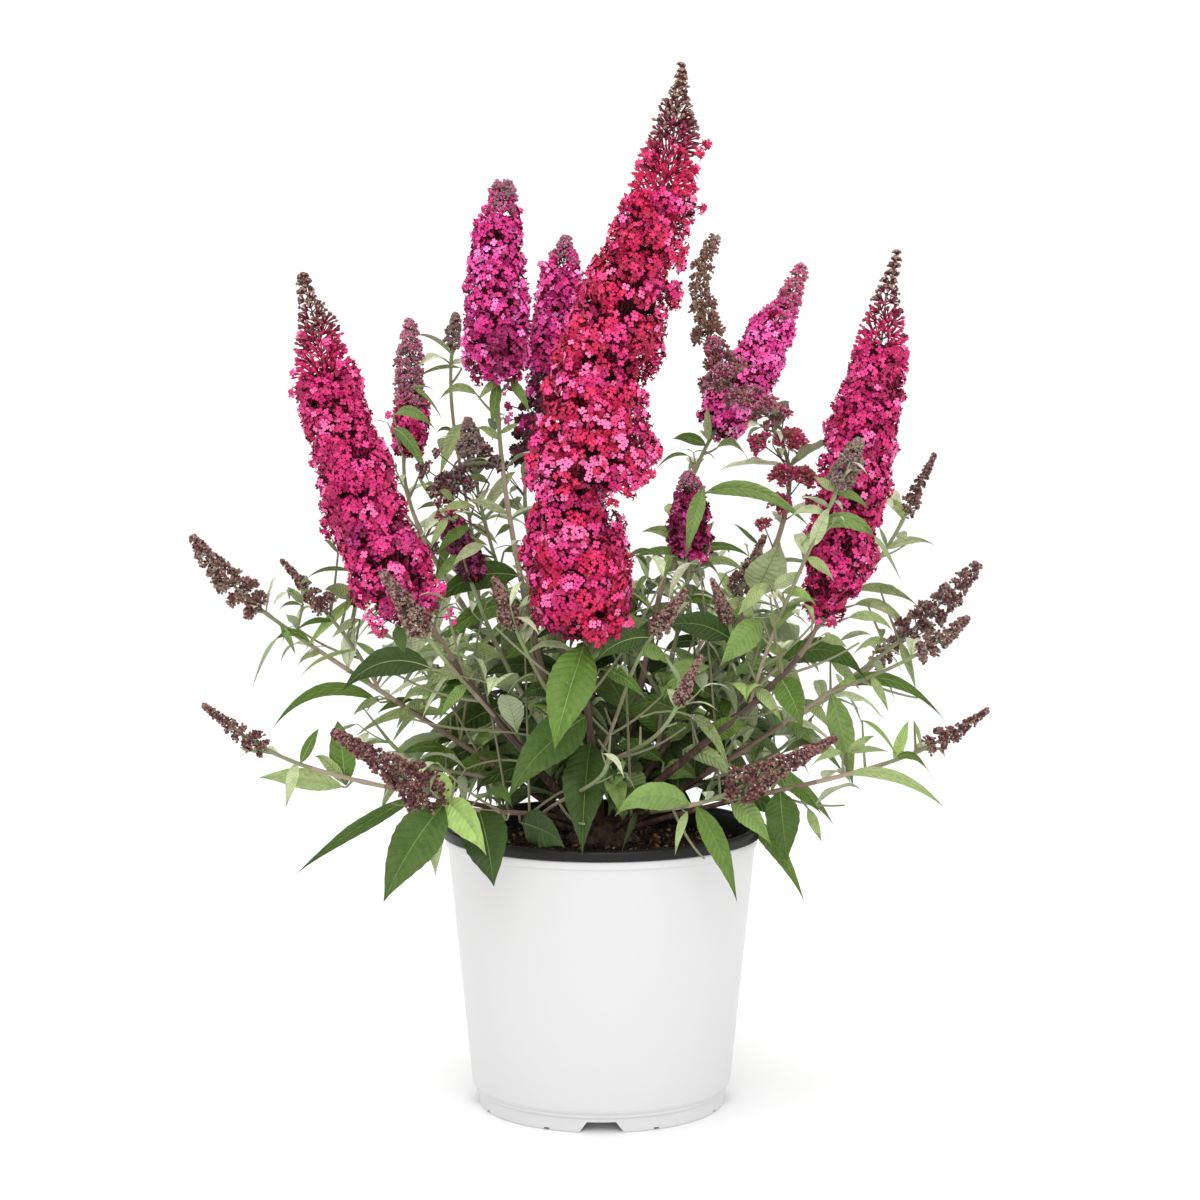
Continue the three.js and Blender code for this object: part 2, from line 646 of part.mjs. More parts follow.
function leafFits(mass, leaf) {
  return LEAF_TESTS.every((share) => [-1, 0, 1].every((hand) => {
    const point = leafPoint(leaf, share).addScaledVector(leaf.side, hand * leafHalf(leaf, share));
    return inSpace(mass, point, 0);
  }));
}

function leafSolid(leaf) {
  const normal = new THREE.Vector3().crossVectors(leaf.side, leaf.direction).normalize();
  const middle = leafPoint(leaf, LEAF_WIDEST);
  const half = leaf.width / 2;
  const thick = leaf.length * LEAF_THICKNESS / 2;
  const points = [
    leaf.root.clone().addScaledVector(leaf.direction, LEAF_INSET),
    middle.clone().addScaledVector(leaf.side, -half),
    middle.clone().addScaledVector(leaf.side, half),
    middle.clone().addScaledVector(normal, thick),
    middle.clone().addScaledVector(normal, -thick),
    leafPoint(leaf, 1),
  ];
  const [root, left, right, crest, keel, tip] = [0, 1, 2, 3, 4, 5];
  return solidOf(geometryFrom(points, [
    [root, crest, left],
    [root, right, crest],
    [left, crest, tip],
    [crest, right, tip],
    [root, left, keel],
    [root, keel, right],
    [left, tip, keel],
    [keel, tip, right],
  ]));
}

// Direction square to a stem, turned about it.
function acrossStem(along, turn) {
  const across = new THREE.Vector3().crossVectors(along, UP);
  if (across.lengthSq() < 1e-3) {
    across.set(1, 0, 0);
  }
  return across.normalize().applyAxisAngle(along, turn);
}

// Opposite leaves at one joint of a stem or twig. A leaf with no room is tried again
// smaller and closer to its stem, and then left out.
function leafPair(mass, point, along, turn, length, random, leaves) {
  const across = acrossStem(along, turn);
  for (const hand of [-1, 1]) {
    const open = between(random, LEAF_OPEN);
    const long = length * between(random, LEAF_LENGTH);
    const slender = between(random, LEAF_SLENDER);
    const droop = between(random, LEAF_DROOP);
    const roll = radians(between(random, LEAF_ROLL));
    for (const [size, closer] of LEAF_TRIES) {
      const angle = radians(open - closer);
      const direction = along.clone().multiplyScalar(Math.cos(angle))
        .addScaledVector(across, hand * Math.sin(angle)).normalize();
      const leaf = leafAt(point, direction, roll, long * size, long * size * slender, droop);
      if (leafFits(mass, leaf)) {
        leaves.push(leaf);
        break;
      }
    }
  }
}

// A side twig with its own leaf pairs, tried again shorter where it has no room.
function sideTwig(mass, point, along, turn, reach, leafLength, random, twigs, leaves) {
  const across = acrossStem(along, turn);
  const open = radians(between(random, TWIG_OPEN));
  const long = reach * between(random, TWIG_LENGTH);
  const lift = between(random, TWIG_LIFT);
  const direction = along.clone().multiplyScalar(Math.cos(open))
    .addScaledVector(across, Math.sin(open)).normalize();
  const pairs = Math.max(2, Math.round(long / TWIG_JOINT));
  const courses = TWIG_TRIES.map((size) => {
    const middle = point.clone().addScaledVector(direction, long * size / 2);
    const end = point.clone().addScaledVector(direction, long * size)
      .addScaledVector(UP, long * size * lift);
    return new THREE.QuadraticBezierCurve3(point, middle, end);
  });
  const curve = courses.find((tried) => TWIG_TESTS
    .every((share) => inSpace(mass, tried.getPoint(share), 1)));
  for (let k = 1; k <= pairs; k += 1) {
    const share = 0.97 * k / pairs;
    const bearer = curve || courses[0];
    const found = [];
    leafPair(mass, bearer.getPoint(share), bearer.getTangent(share), turn + k * Math.PI / 2,
      leafLength * (0.95 - 0.25 * share), random, found);
    if (curve) {
      leaves.push(...found);
    }
  }
  if (curve) {
    twigs.push(curve);
  }
}

// Everything that one shoot adds to its mass.
function growShoot(shoot, seed) {
  const random = seeded(seed);
  const mass = massOf(shoot);
  const habit = GROWTH[shoot.kind];
  const twigs = [];
  const leaves = [];
  const length = shoot.stem.getLength() * (1 - shoot.fork);
  const joints = Math.max(2, Math.round(length / habit.internode));
  const turn = random() * Math.PI;
  for (let k = 1; k <= joints; k += 1) {
    const share = shoot.fork + (1 - shoot.fork) * (k - 0.35) / joints;
    const point = shoot.stem.getPoint(share);
    const along = shoot.stem.getTangent(share);
    const jointTurn = turn + k * Math.PI / 2;
    const size = habit.leaf * (1.05 - 0.5 * k / joints);
    leafPair(mass, point, along, jointTurn, size, random, leaves);
    if (k <= habit.twigs) {
      for (const hand of [0, Math.PI]) {
        sideTwig(mass, point, along, jointTurn + hand + TWIG_TURN,
          habit.twigLength * (1.1 - 0.12 * k), size * TWIG_LEAF, random, twigs, leaves);
      }
    }
  }
  if (shoot.kind === 'leafy') {
    leafPair(mass, shoot.spike.getPoint(1), shoot.spike.getTangent(1), turn, habit.leaf * 0.6,
      random, leaves);
  }
  return { twigs, leaves };
}

function spikeSolid(shoot) {
  const length = shoot.spike.getLength();
  if (shoot.kind === 'leafy') {
    return tube(shoot.spike, 0, 1, () => STEM_TIP_RADIUS, TWIG_SIDES, 2);
  }
  if (shoot.kind === 'bloom') {
    const steps = Math.max(6, Math.round(length / BLOOM_STEP));
    return tube(shoot.spike, 0, 1, (share) => spikeRadius(shoot, share), BLOOM_SIDES, steps,
      { rib: BLOOM_RIB });
  }
  const steps = 2 * Math.max(2, Math.round(length / (2 * BUD_STEP)));
  const knobbly = (share) => spikeRadius(shoot, share)
    * (Math.round(share * steps) % 2 ? 1 : BUD_WAIST);
  return tube(shoot.spike, 0, 1, knobbly, BUD_SIDES, steps, { rib: BUD_RIB });
}

function shootSolids(shoot, grown) {
  const length = shoot.stem.getLength() * (1 - shoot.fork);
  const steps = Math.max(3, Math.round(length / STEM_STEP));
  const start = shoot.foot ? shoot.fork + SEAT / shoot.stem.getLength() : shoot.fork;
  const stem = tube(shoot.stem, start, 1, (share) => stemRadius(shoot, share), STEM_SIDES, steps,
    { beyond: SPIKE_OVERLAP });
  const twigs = grown.twigs.map((curve) => tube(curve, 0, 1,
    (share) => TWIG_RADIUS + (TWIG_TIP_RADIUS - TWIG_RADIUS) * share, TWIG_SIDES, 2));
  return [stem, spikeSolid(shoot), ...twigs, ...grown.leaves.map(leafSolid)];
}

// ---------------------------------------------------------------------------
// Assembly
// ---------------------------------------------------------------------------

const bush = new THREE.Group();

function addPiece(name, solid, material) {
  const mesh = new THREE.Mesh(geometryOf(solid), material);
  mesh.name = name;
  bush.add(mesh);
}

addPiece('pot', makePot(), materials.pot);
addPiece('pot_rim', makeRim(), materials.rim);
addPiece('soil', makeSoil(), materials.soil);
addPiece('root_crown', turned(crownProfile(0), CROWN_SIDES), materials.bark);

const grownCrown = turned(crownProfile(SEAT), CROWN_SIDES);
const grownCanes = new Map();
for (const shoot of SHOOTS) {
  if (shoot.foot) {
    const cane = tube(shoot.stem, 0, shoot.fork, (share) => caneRadius(shoot, share),
      CANE_SIDES, CANE_STEPS);
    addPiece(`cane_${shoot.name}`, cane.subtract(grownCrown), materials.bark);
    grownCanes.set(shoot.name, tube(shoot.stem, 0, shoot.fork,
      (share) => caneRadius(shoot, share) + SEAT * 1.2, CANE_SIDES, CANE_STEPS));
  }
}

const masses = new Map();
SHOOTS.forEach((shoot, index) => {
  const mass = massOf(shoot);
  const grown = growShoot(shoot, SEED + SEED_STEP * index);
  const solids = shootSolids(shoot, grown);
  masses.set(mass, [...(masses.get(mass) || []), ...solids]);
});

for (const [name, solids] of masses) {
  const shoot = shootByName.get(name);
  let solid = wasm.Manifold.union(solids);
  if (shoot.from) {
    solid = solid.subtract(grownCanes.get(shoot.from));
  }
  const material = shoot.kind === 'leafy' ? materials.leaf : materials[shoot.kind];
  addPiece(name, mainBody(solid.simplify(FINEST_EDGE)), material);
}

export default bush;
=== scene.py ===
"""A butterfly bush (Buddleja davidii) in its white nursery pot, dressed over its CAD frame.

Lengths are in millimetres until a mesh is made. +Z is up, -Y is the front, and the origin is
the centre of the pot's underside. Each mass of foliage grows again here by the source's rule,
and goes on to finer twigs, leaves, florets and buds inside the same reach.
"""

import json
import math

import bpy
import numpy as np
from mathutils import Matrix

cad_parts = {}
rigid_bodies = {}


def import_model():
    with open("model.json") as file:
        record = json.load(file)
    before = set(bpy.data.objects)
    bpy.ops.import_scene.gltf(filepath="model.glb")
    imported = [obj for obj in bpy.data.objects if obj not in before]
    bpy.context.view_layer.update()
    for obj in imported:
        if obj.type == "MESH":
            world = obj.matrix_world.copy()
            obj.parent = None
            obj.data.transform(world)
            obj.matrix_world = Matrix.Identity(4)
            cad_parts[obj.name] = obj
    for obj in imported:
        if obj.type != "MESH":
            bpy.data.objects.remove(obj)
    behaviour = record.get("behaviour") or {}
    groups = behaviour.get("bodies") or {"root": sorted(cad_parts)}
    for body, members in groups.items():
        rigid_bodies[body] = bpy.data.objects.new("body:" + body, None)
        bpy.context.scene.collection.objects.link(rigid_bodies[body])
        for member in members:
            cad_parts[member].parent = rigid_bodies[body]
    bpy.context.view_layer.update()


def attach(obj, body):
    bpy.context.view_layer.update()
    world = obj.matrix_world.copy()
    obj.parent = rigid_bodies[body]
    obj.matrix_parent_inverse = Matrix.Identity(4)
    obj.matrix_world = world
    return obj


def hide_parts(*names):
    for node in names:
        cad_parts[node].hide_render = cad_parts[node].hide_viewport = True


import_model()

# ---------------------------------------------------------------------------
# Sizes and growth, as in the part's source
# ---------------------------------------------------------------------------

BASE_RADIUS = 88
FOOT_HEIGHT = 10.5
FOOT_WIDTH = 7.5
FLOOR_DISC = 66
CHANNEL_DEPTH = 9
SHOULDER_RADIUS = 92.2
SHOULDER_HEIGHT = 15.2
WALL_TOP_RADIUS = 109.2
WALL_TOP = 185.4
COLLAR_RADIUS = 110.9
COLLAR_TOP = 191.6
RIM_RADIUS = 112.9
RIM_TOP = 199.2
NOTCH_HEIGHT = 9.6
NOTCH_TOP_WIDTH = 20
NOTCH_BOTTOM_WIDTH = 31
NICK_HEIGHT = 1.8
NICK_WIDTH = 4
NICK_ANGLE = 25.5
SOIL_EDGE = 184
SOIL_TOP = 188
CROWN_RADIUS = 27
CROWN_HEIGHT = 17
OUTER_RING = 20
INNER_RING = 11.5
POT_WALL = 2
LINER_WALL = 1.6
LINER_BOTTOM = 172
LINER_GAP = 2.3
SEAT = 0.3

SEED = 7000
SEED_STEP = 37
CANE_FLARE = 1.15
CANE_PULL = (0.36, 0.24)
STEM_SHARE = 0.86
STEM_TIP_RADIUS = 1.3
SIDE_PULL = (0.4, 0.3)
SIDE_SHARE = 0.75
FORK_BACK = 0.05
TWIG_OPEN = (40, 58)
TWIG_LENGTH = (0.7, 1.2)
TWIG_LIFT = (0.1, 0.35)
TWIG_JOINT = 34
TWIG_TURN = 0.5
TWIG_LEAF = 0.72
TWIG_TRIES = (1, 0.65)
TWIG_TESTS = np.array([0.25, 0.4, 0.6, 0.8, 1])
LEAF_OPEN = (46, 72)
LEAF_LENGTH = (0.82, 1.18)
LEAF_SLENDER = (0.32, 0.44)
LEAF_DROOP = (0.22, 0.64)
LEAF_ROLL = (-24, 24)
LEAF_WIDEST = 0.42
LEAF_TRIES = ((1, 0), (0.76, 16))
LEAF_TESTS = np.array([0.18, 0.35, LEAF_WIDEST, 0.6, 0.8, 1])
CELL_MARGIN = 1.4
LIMB_MARGIN = 2.2
AXIS_STEP = 11
CANE_MARK_STEPS = 40

GROWTH = {
    "bloom": {"internode": 40, "leaf": 88, "twigs": 2, "twig": 84},
    "bud": {"internode": 38, "leaf": 80, "twigs": 1, "twig": 66},
    "leafy": {"internode": 28, "leaf": 88, "twigs": 1, "twig": 60},
}

UP = np.array([0.0, 0.0, 1.0])
METRE = 1000


def unit(vectors):
    """Vectors of length one, along the last axis."""
    return vectors / np.maximum(np.linalg.norm(vectors, axis=-1, keepdims=True), 1e-9)


def spun(vector, axis, angle):
    """The vector turned about a unit axis."""
    cosine, sine = math.cos(angle), math.sin(angle)
    return vector * cosine + np.cross(axis, vector) * sine + axis * (axis @ vector) * (1 - cosine)


def seeded(seed):
    """A function that draws numbers between 0 and 1, the same for the same seed."""
    whole = 0xFFFFFFFF
    state = seed & whole

    def draw():
        nonlocal state
        state = (state + 0x6D2B79F5) & whole
        bits = ((state ^ (state >> 15)) * (state | 1)) & whole
        bits ^= (bits + (((bits ^ (bits >> 7)) * (bits | 61)) & whole)) & whole
        return (bits ^ (bits >> 14)) / 4294967296

    return draw


def between(random, limits):
    """A draw between two limits."""
    return limits[0] + (limits[1] - limits[0]) * random()


class Bezier:
    """A curve through its first and last knot, drawn towards those between."""

    def __init__(self, *knots):
        self.knots = np.array(knots, float)
        self.order = len(knots) - 1

    def at(self, share):
        """Points at these shares of the curve."""
        share = np.asarray(share, float)[..., None]
        return sum(
            math.comb(self.order, k) * share**k * (1 - share) ** (self.order - k) * knot
            for k, knot in enumerate(self.knots)
        )

    def along(self, share):
        """Unit directions at these shares."""
        share = np.asarray(share, float)
        ahead, behind = np.clip(share + 1e-4, 0, 1), np.clip(share - 1e-4, 0, 1)
        return unit(self.at(ahead) - self.at(behind))

    def length(self):
        """Length along the curve."""
        return np.linalg.norm(np.diff(self.at(np.linspace(0, 1, 201)), axis=0), axis=1).sum()


class Shoot:
    """A flowering or leafy shoot: its spike and the stem that carries it."""

    def __init__(self, name, kind, heel, tip, bow, width, foot=None, parent=None, on=None, at=0):
        self.name, self.kind, self.width = name, kind, width
        self.heel, self.tip = np.array(heel, float), np.array(tip, float)
        self.foot, self.parent, self.on, self.at = foot, parent, on, at
        middle = (self.heel + self.tip) / 2 + 2 * np.array(bow, float)
        self.spike = Bezier(self.heel, middle, self.tip)
        self.mass = on or name


def bloom(name, heel, tip, width, bow=(0, 0, 0), **where):
    """A shoot that ends in a flower spike."""
    return Shoot(name, "bloom", heel, tip, bow, width, **where)


def bud(name, heel, tip, width, bow=(0, 0, 0), **where):
    """A shoot that ends in a spike of buds."""
    return Shoot(name, "bud", heel, tip, bow, width, **where)


def leafy(name, heel, tip, parent):
    """A shoot with leaves alone."""
    return Shoot(name, "leafy", heel, tip, (0, 0, 0), 3, parent=parent)


SHOOTS = [
    bloom("spire_centre", (-11, -95, 340), (53, -45, 728), 84, (-12, -9, 3),
          foot=(-97, INNER_RING, 64, 6.4, 0.3)),
    bloom("spire_left", (-117, -78, 352), (-210, -30, 588), 68, (-7, -3, -2),
          foot=(-143, INNER_RING, 46, 6.2, 0.34)),
    bloom("spire_back_left", (-75, 55, 514), (-71, 60, 658), 48,
          foot=(168, INNER_RING, 70, 5.4, 0.2)),
    bloom("spire_back", (-54, 70, 449), (-26, 115, 622), 42, (3, 2, -1),
          foot=(92, INNER_RING, 70, 5.2, 0.24)),
    bloom("spire_back_right", (84, 90, 477), (152, 140, 603), 43, (3, -1, -1),
          foot=(50, INNER_RING, 66, 5.4, 0.24)),
    bud("fading_spire", (121, 10, 479), (81, 20, 618), 31, (-16, 0, -4),
        foot=(8, INNER_RING, 60, 5.6, 0.24)),
    bloom("spire_right", (150, -55, 352), (204, -15, 603), 56, (4, 0, 0),
          foot=(-36, INNER_RING, 50, 6.2, 0.4)),
    bloom("spire_far_left", (-146, 95, 461), (-143, 115, 558), 31, (2, 0, 0),
          foot=(131, INNER_RING, 60, 4.8, 0.26)),
    bloom("spire_inner_right", (63, 15, 389), (61, 20, 450), 35, (1, 0, 0),
          parent="fading_spire"),
    bloom("spire_inner_left", (-93, 10, 372), (-116, 30, 435), 33, parent="spire_back_left"),
    bloom("spire_far_back", (-12, 152, 428), (10, 190, 545), 46, (0, 3, 0),
          parent="spire_back"),
    bloom("spire_rear_left", (-163, 122, 380), (-195, 152, 492), 40, (-3, 2, 0),
          parent="spire_far_left"),
    bloom("spire_rear_right", (166, 106, 384), (198, 148, 492), 40, (3, 2, 0),
          parent="bud_rear_right"),
    bud("bud_left", (-236, -30, 354), (-282, -40, 406), 19, (-2, 0, -2),
        foot=(176, OUTER_RING, 38, 4.4, 0.26)),
    bud("bud_left_young", (-196, -25, 357), (-222, -30, 389), 13, on="bud_left", at=0.45),
    bud("bud_left_low", (-228, -70, 262), (-271, -80, 295), 16, (-1, 0, -1),
        foot=(-158, OUTER_RING, 22, 4, 0.36)),
    bud("bud_front_left", (-104, -125, 236), (-173, -165, 287), 27, (0, 0, -1),
        foot=(-126, OUTER_RING, 34, 4, 0.42)),
    bud("bud_front_right", (80, -130, 240), (151, -160, 282), 22, (0, 0, -1),
        foot=(-62, OUTER_RING, 34, 4, 0.42)),
    bud("bud_right", (211, 0, 330), (267, 0, 385), 19, (1, 0, -1),
        foot=(4, OUTER_RING, 34, 4.4, 0.26)),
    bud("bud_right_young", (219, -25, 322), (255, -30, 349), 13, (1, 0, -1),
        on="bud_right", at=0.6),
    bud("bud_right_low", (225, -40, 259), (268, -50, 288), 15, (1, 0, -1),
        foot=(-22, OUTER_RING, 22, 4, 0.36)),
    bud("bud_upper_right", (219, 40, 417), (241, 45, 462), 14, on="spire_right", at=0.06),
    bud("bud_before_right", (158, -84, 439), (172, -92, 473), 17, on="spire_right", at=0.3),
    bud("bud_upper_left", (-112, 125, 537), (-109, 128, 565), 11, on="spire_far_left", at=0.3),
    bud("bud_behind_left", (-92, 62, 446), (-98, 67, 487), 18, on="spire_back_left", at=0.1),
    bud("bud_before_left", (-115, -126, 345), (-144, -136, 389), 21, on="spire_left", at=0.3),
    bud("bud_centre_left", (-57, -95, 346), (-72, -100, 382), 19, on="spire_centre", at=0.1),
    bud("bud_centre_right", (34, -100, 343), (56, -105, 374), 17, on="spire_centre", at=0.05),
    bud("bud_centre_young", (50, -125, 299), (65, -135, 333), 13, on="spire_centre", at=0.02),
    bud("bud_inner_right", (88, -50, 346), (76, -50, 377), 14, on="fading_spire", at=0.05),
    bud("bud_rear_left", (-150, 150, 352), (-188, 178, 396), 19, (-2, 2, -1),
        foot=(141, OUTER_RING, 40, 4.2, 0.28)),
    bud("bud_rear", (-48, 205, 328), (-60, 250, 374), 19, (0, 2, -2),
        foot=(104, OUTER_RING, 38, 4.2, 0.28)),
    bud("bud_rear_right", (102, 192, 346), (130, 232, 392), 19, (1, 2, -2),
        foot=(66, OUTER_RING, 40, 4.2, 0.28)),
    bud("bud_far_right", (204, 112, 300), (236, 132, 340), 16, (2, 0, -2),
        foot=(34, OUTER_RING, 30, 4, 0.32)),
    leafy("leafy_front", (4, -128, 262), (6, -150, 284), "bud_front_left"),
    leafy("leafy_left", (-150, -20, 262), (-168, -22, 286), "bud_left"),
    leafy("leafy_right", (140, 30, 258), (160, 34, 280), "bud_right"),
    leafy("leafy_rear_left", (-96, 118, 262), (-110, 136, 284), "bud_rear_left"),
    leafy("leafy_rear", (24, 148, 262), (28, 170, 284), "bud_rear"),
    leafy("leafy_rear_right", (118, 108, 262), (134, 124, 284), "bud_far_right"),
]
SHOOT = {shoot.name: shoot for shoot in SHOOTS}


def course(start, direction, heel, arrival, pulls):
    """A stem's course from its start to its heel."""
    reach = np.linalg.norm(heel - start)
    return Bezier(start, start + direction * reach * pulls[0],
                  heel - arrival * reach * pulls[1], heel)


def side_course(shoot, carrier, share, skin):
    """The course of a shoot that leaves another's stem."""
    core, along = carrier.stem.at(share), carrier.stem.along(share)
    toward = unit(shoot.heel - core)
    outward = unit(toward - along * (along @ toward))
    direction = unit(along * 0.2 + toward + outward * 0.25)
    return course(core + outward * skin, direction, shoot.heel, shoot.spike.along(0), SIDE_PULL)


for shoot in SHOOTS:
    if shoot.foot:
        bearing, ring, rise, diameter, shoot.fork = shoot.foot
        outward = np.array([math.cos(math.radians(bearing)), math.sin(math.radians(bearing)), 0])
        start = outward * ring * 0.6 + UP * (SOIL_TOP + 5)
        direction = outward * math.cos(math.radians(rise)) + UP * math.sin(math.radians(rise))
        shoot.stem = course(start, direction, shoot.heel, shoot.spike.along(0), CANE_PULL)
        shoot.fork_radius = diameter / 2 * STEM_SHARE
for shoot in SHOOTS:
    if shoot.parent:
        carrier = SHOOT[shoot.parent]
        shoot.stem = side_course(shoot, carrier, carrier.fork - FORK_BACK,
                                 carrier.fork_radius * 0.9)
        shoot.fork, shoot.fork_radius = 0, carrier.fork_radius * SIDE_SHARE
for shoot in SHOOTS:
    if shoot.on:
        carrier = SHOOT[shoot.on]
        shoot.stem = side_course(shoot, carrier, carrier.fork + (1 - carrier.fork) * shoot.at, 0)
        shoot.fork, shoot.fork_radius = 0, STEM_TIP_RADIUS


def joint_share(shoot, k, joints, short):
    """The share of its stem at which a shoot has a joint, a part of a joint short of its end."""
    return shoot.fork + (1 - shoot.fork) * (k - short) / joints


def cane_radius(shoot, share):
    """Radius of a cane at a share of its whole stem."""
    return shoot.foot[3] / 2 * (CANE_FLARE - (CANE_FLARE - STEM_SHARE) * share / shoot.fork)


def stem_radius(shoot, share):
    """Radius of a stem past its fork."""
    passed = (share - shoot.fork) / (1 - shoot.fork)
    return shoot.fork_radius + (STEM_TIP_RADIUS - shoot.fork_radius) * passed


def spike_radius(shoot, share):
    """Half width of a spike along its length."""
    share = np.asarray(share, float)
    swell = 0.62 + 0.38 * np.minimum(1, share / 0.1)
    if shoot.kind == "bloom":
        return shoot.width / 2 * swell * np.sqrt(np.maximum(0.004, 1 - share * share))
    return shoot.width / 2 * swell * (1 - 0.72 * share)


def axis_marks(shoot):
    """Points along a shoot's stem and spike, with the radius that each fills."""
    length = shoot.stem.length() * (1 - shoot.fork)
    steps = max(2, math.ceil(length / AXIS_STEP))
    shares = shoot.fork + (1 - shoot.fork) * np.arange(steps + 1) / steps
    spike_steps = max(2, math.ceil(shoot.spike.length() / AXIS_STEP))
    spike_shares = np.arange(1, spike_steps + 1) / spike_steps
    return (np.concatenate([shoot.stem.at(shares), shoot.spike.at(spike_shares)]),
            np.concatenate([stem_radius(shoot, shares), spike_radius(shoot, spike_shares)]))


MASSES = list(dict.fromkeys(shoot.mass for shoot in SHOOTS))
MARKS = {mass: [axis_marks(shoot) for shoot in SHOOTS if shoot.mass == mass] for mass in MASSES}
MARK_AT = np.concatenate([at for mass in MASSES for at, _ in MARKS[mass]])
MARK_RADIUS = np.concatenate([radius for mass in MASSES for _, radius in MARKS[mass]])
MARK_FIRST = np.cumsum([0] + [sum(len(at) for at, _ in MARKS[mass]) for mass in MASSES])[:-1]
CANES = [shoot for shoot in SHOOTS if shoot.foot]
CANE_SHARES = [shoot.fork * np.arange(CANE_MARK_STEPS + 1) / CANE_MARK_STEPS for shoot in CANES]
CANE_AT = np.concatenate([c.stem.at(shares) for c, shares in zip(CANES, CANE_SHARES)])
CANE_RADIUS = np.concatenate([cane_radius(c, shares) for c, shares in zip(CANES, CANE_SHARES)])


def clear_of_pot(points, spare):
    """True for points that are clear of the pot, its soil and the crown."""
    across = np.hypot(points[:, 0], points[:, 1])
    over_pot = (across >= RIM_RADIUS + 2) | (points[:, 2] >= RIM_TOP + 1.5 + spare)
    over_crown = (across >= CROWN_RADIUS + 6) | (points[:, 2] >= SOIL_TOP + CROWN_HEIGHT + 8)
    return over_pot & over_crown


def gaps(points, centres, radii):
    """Gaps from each point to each of the balls at these centres."""
    return np.linalg.norm(points[:, None] - centres, axis=2) - radii


def in_space(mass, points, spare):
    """True where all the points are in the mass's own space."""
    if not clear_of_pot(points, spare).all():
        return False
    if gaps(points, CANE_AT, CANE_RADIUS).min() < LIMB_MARGIN + spare:
        return False
    nearest = np.minimum.reduceat(gaps(points, MARK_AT, MARK_RADIUS), MARK_FIRST, axis=1)
    own = nearest[:, MASSES.index(mass)].copy()
    nearest[:, MASSES.index(mass)] = np.inf
    return bool((nearest.min(axis=1) >= own + CELL_MARGIN + spare).all())


class Leaf:
    """A leaf as numbers: root, direction, side, length, width and droop, with its age."""

    def __init__(self, root, direction, roll, length, width, droop, age):
        level = np.cross(direction, UP)
        level = unit(level) if level @ level > 1e-4 else np.array([1.0, 0, 0])
        self.root, self.direction = root, direction
        self.side = spun(level, direction, roll)
        self.length, self.width, self.droop, self.age = length, width, droop, age

    def spine(self, share):
        """Points on the midrib at these shares of its length."""
        share = np.asarray(share, float)[..., None]
        return (self.root + self.direction * self.length * share
                - UP * self.droop * self.length * share**2)

    def tests(self):
        """Points on the leaf's edges and middle."""
        share = LEAF_TESTS[:, None, None]
        half = self.width / 2 * np.where(share < LEAF_WIDEST, share / LEAF_WIDEST,
                                         (1 - share) / (1 - LEAF_WIDEST))
        hands = np.array([-1, 0, 1])[None, :, None]
        return (self.spine(LEAF_TESTS)[:, None] + self.side * hands * half).reshape(-1, 3)


def across_stem(along, turn):
    """Direction square to a stem, turned about it."""
    across = np.cross(along, UP)
    across = unit(across) if across @ across > 1e-3 else np.array([1.0, 0, 0])
    return spun(across, along, turn)


def leaf_pair(fits, point, along, turn, length, random, leaves, age):
    """Opposite leaves at one joint, each tried again smaller, and then left out."""
    across = across_stem(along, turn)
    for hand in (-1, 1):
        opened = between(random, LEAF_OPEN)
        long = length * between(random, LEAF_LENGTH)
        slender = between(random, LEAF_SLENDER)
        droop = between(random, LEAF_DROOP)
        roll = math.radians(between(random, LEAF_ROLL))
        for size, closer in LEAF_TRIES:
            angle = math.radians(opened - closer)
            direction = unit(along * math.cos(angle) + across * hand * math.sin(angle))
            leaf = Leaf(point, direction, roll, long * size, long * size * slender, droop, age)
            if fits(leaf.tests(), 0):
                leaves.append(leaf)
                break


def side_twig(fits, point, along, turn, reach, leaf_length, random, twigs, leaves):
    """A side twig with its own leaf pairs."""
    across = across_stem(along, turn)
    opened = math.radians(between(random, TWIG_OPEN))
    long = reach * between(random, TWIG_LENGTH)
    lift = between(random, TWIG_LIFT)
    direction = unit(along * math.cos(opened) + across * math.sin(opened))
    pairs = max(2, math.floor(long / TWIG_JOINT + 0.5))
    tried = [Bezier(point, point + direction * long * size / 2,
                    point + direction * long * size + UP * long * size * lift)
             for size in TWIG_TRIES]
    curve = next((c for c in tried if fits(c.at(TWIG_TESTS), 1)), None)
    for k in range(1, pairs + 1):
        share = 0.97 * k / pairs
        bearer = curve or tried[0]
        found = []
        leaf_pair(fits, bearer.at(share), bearer.along(share), turn + k * math.pi / 2,
                  leaf_length * (0.95 - 0.25 * share), random, found, 0.4)
        if curve:
            leaves.extend(found)
    if curve:
        twigs.append(curve)


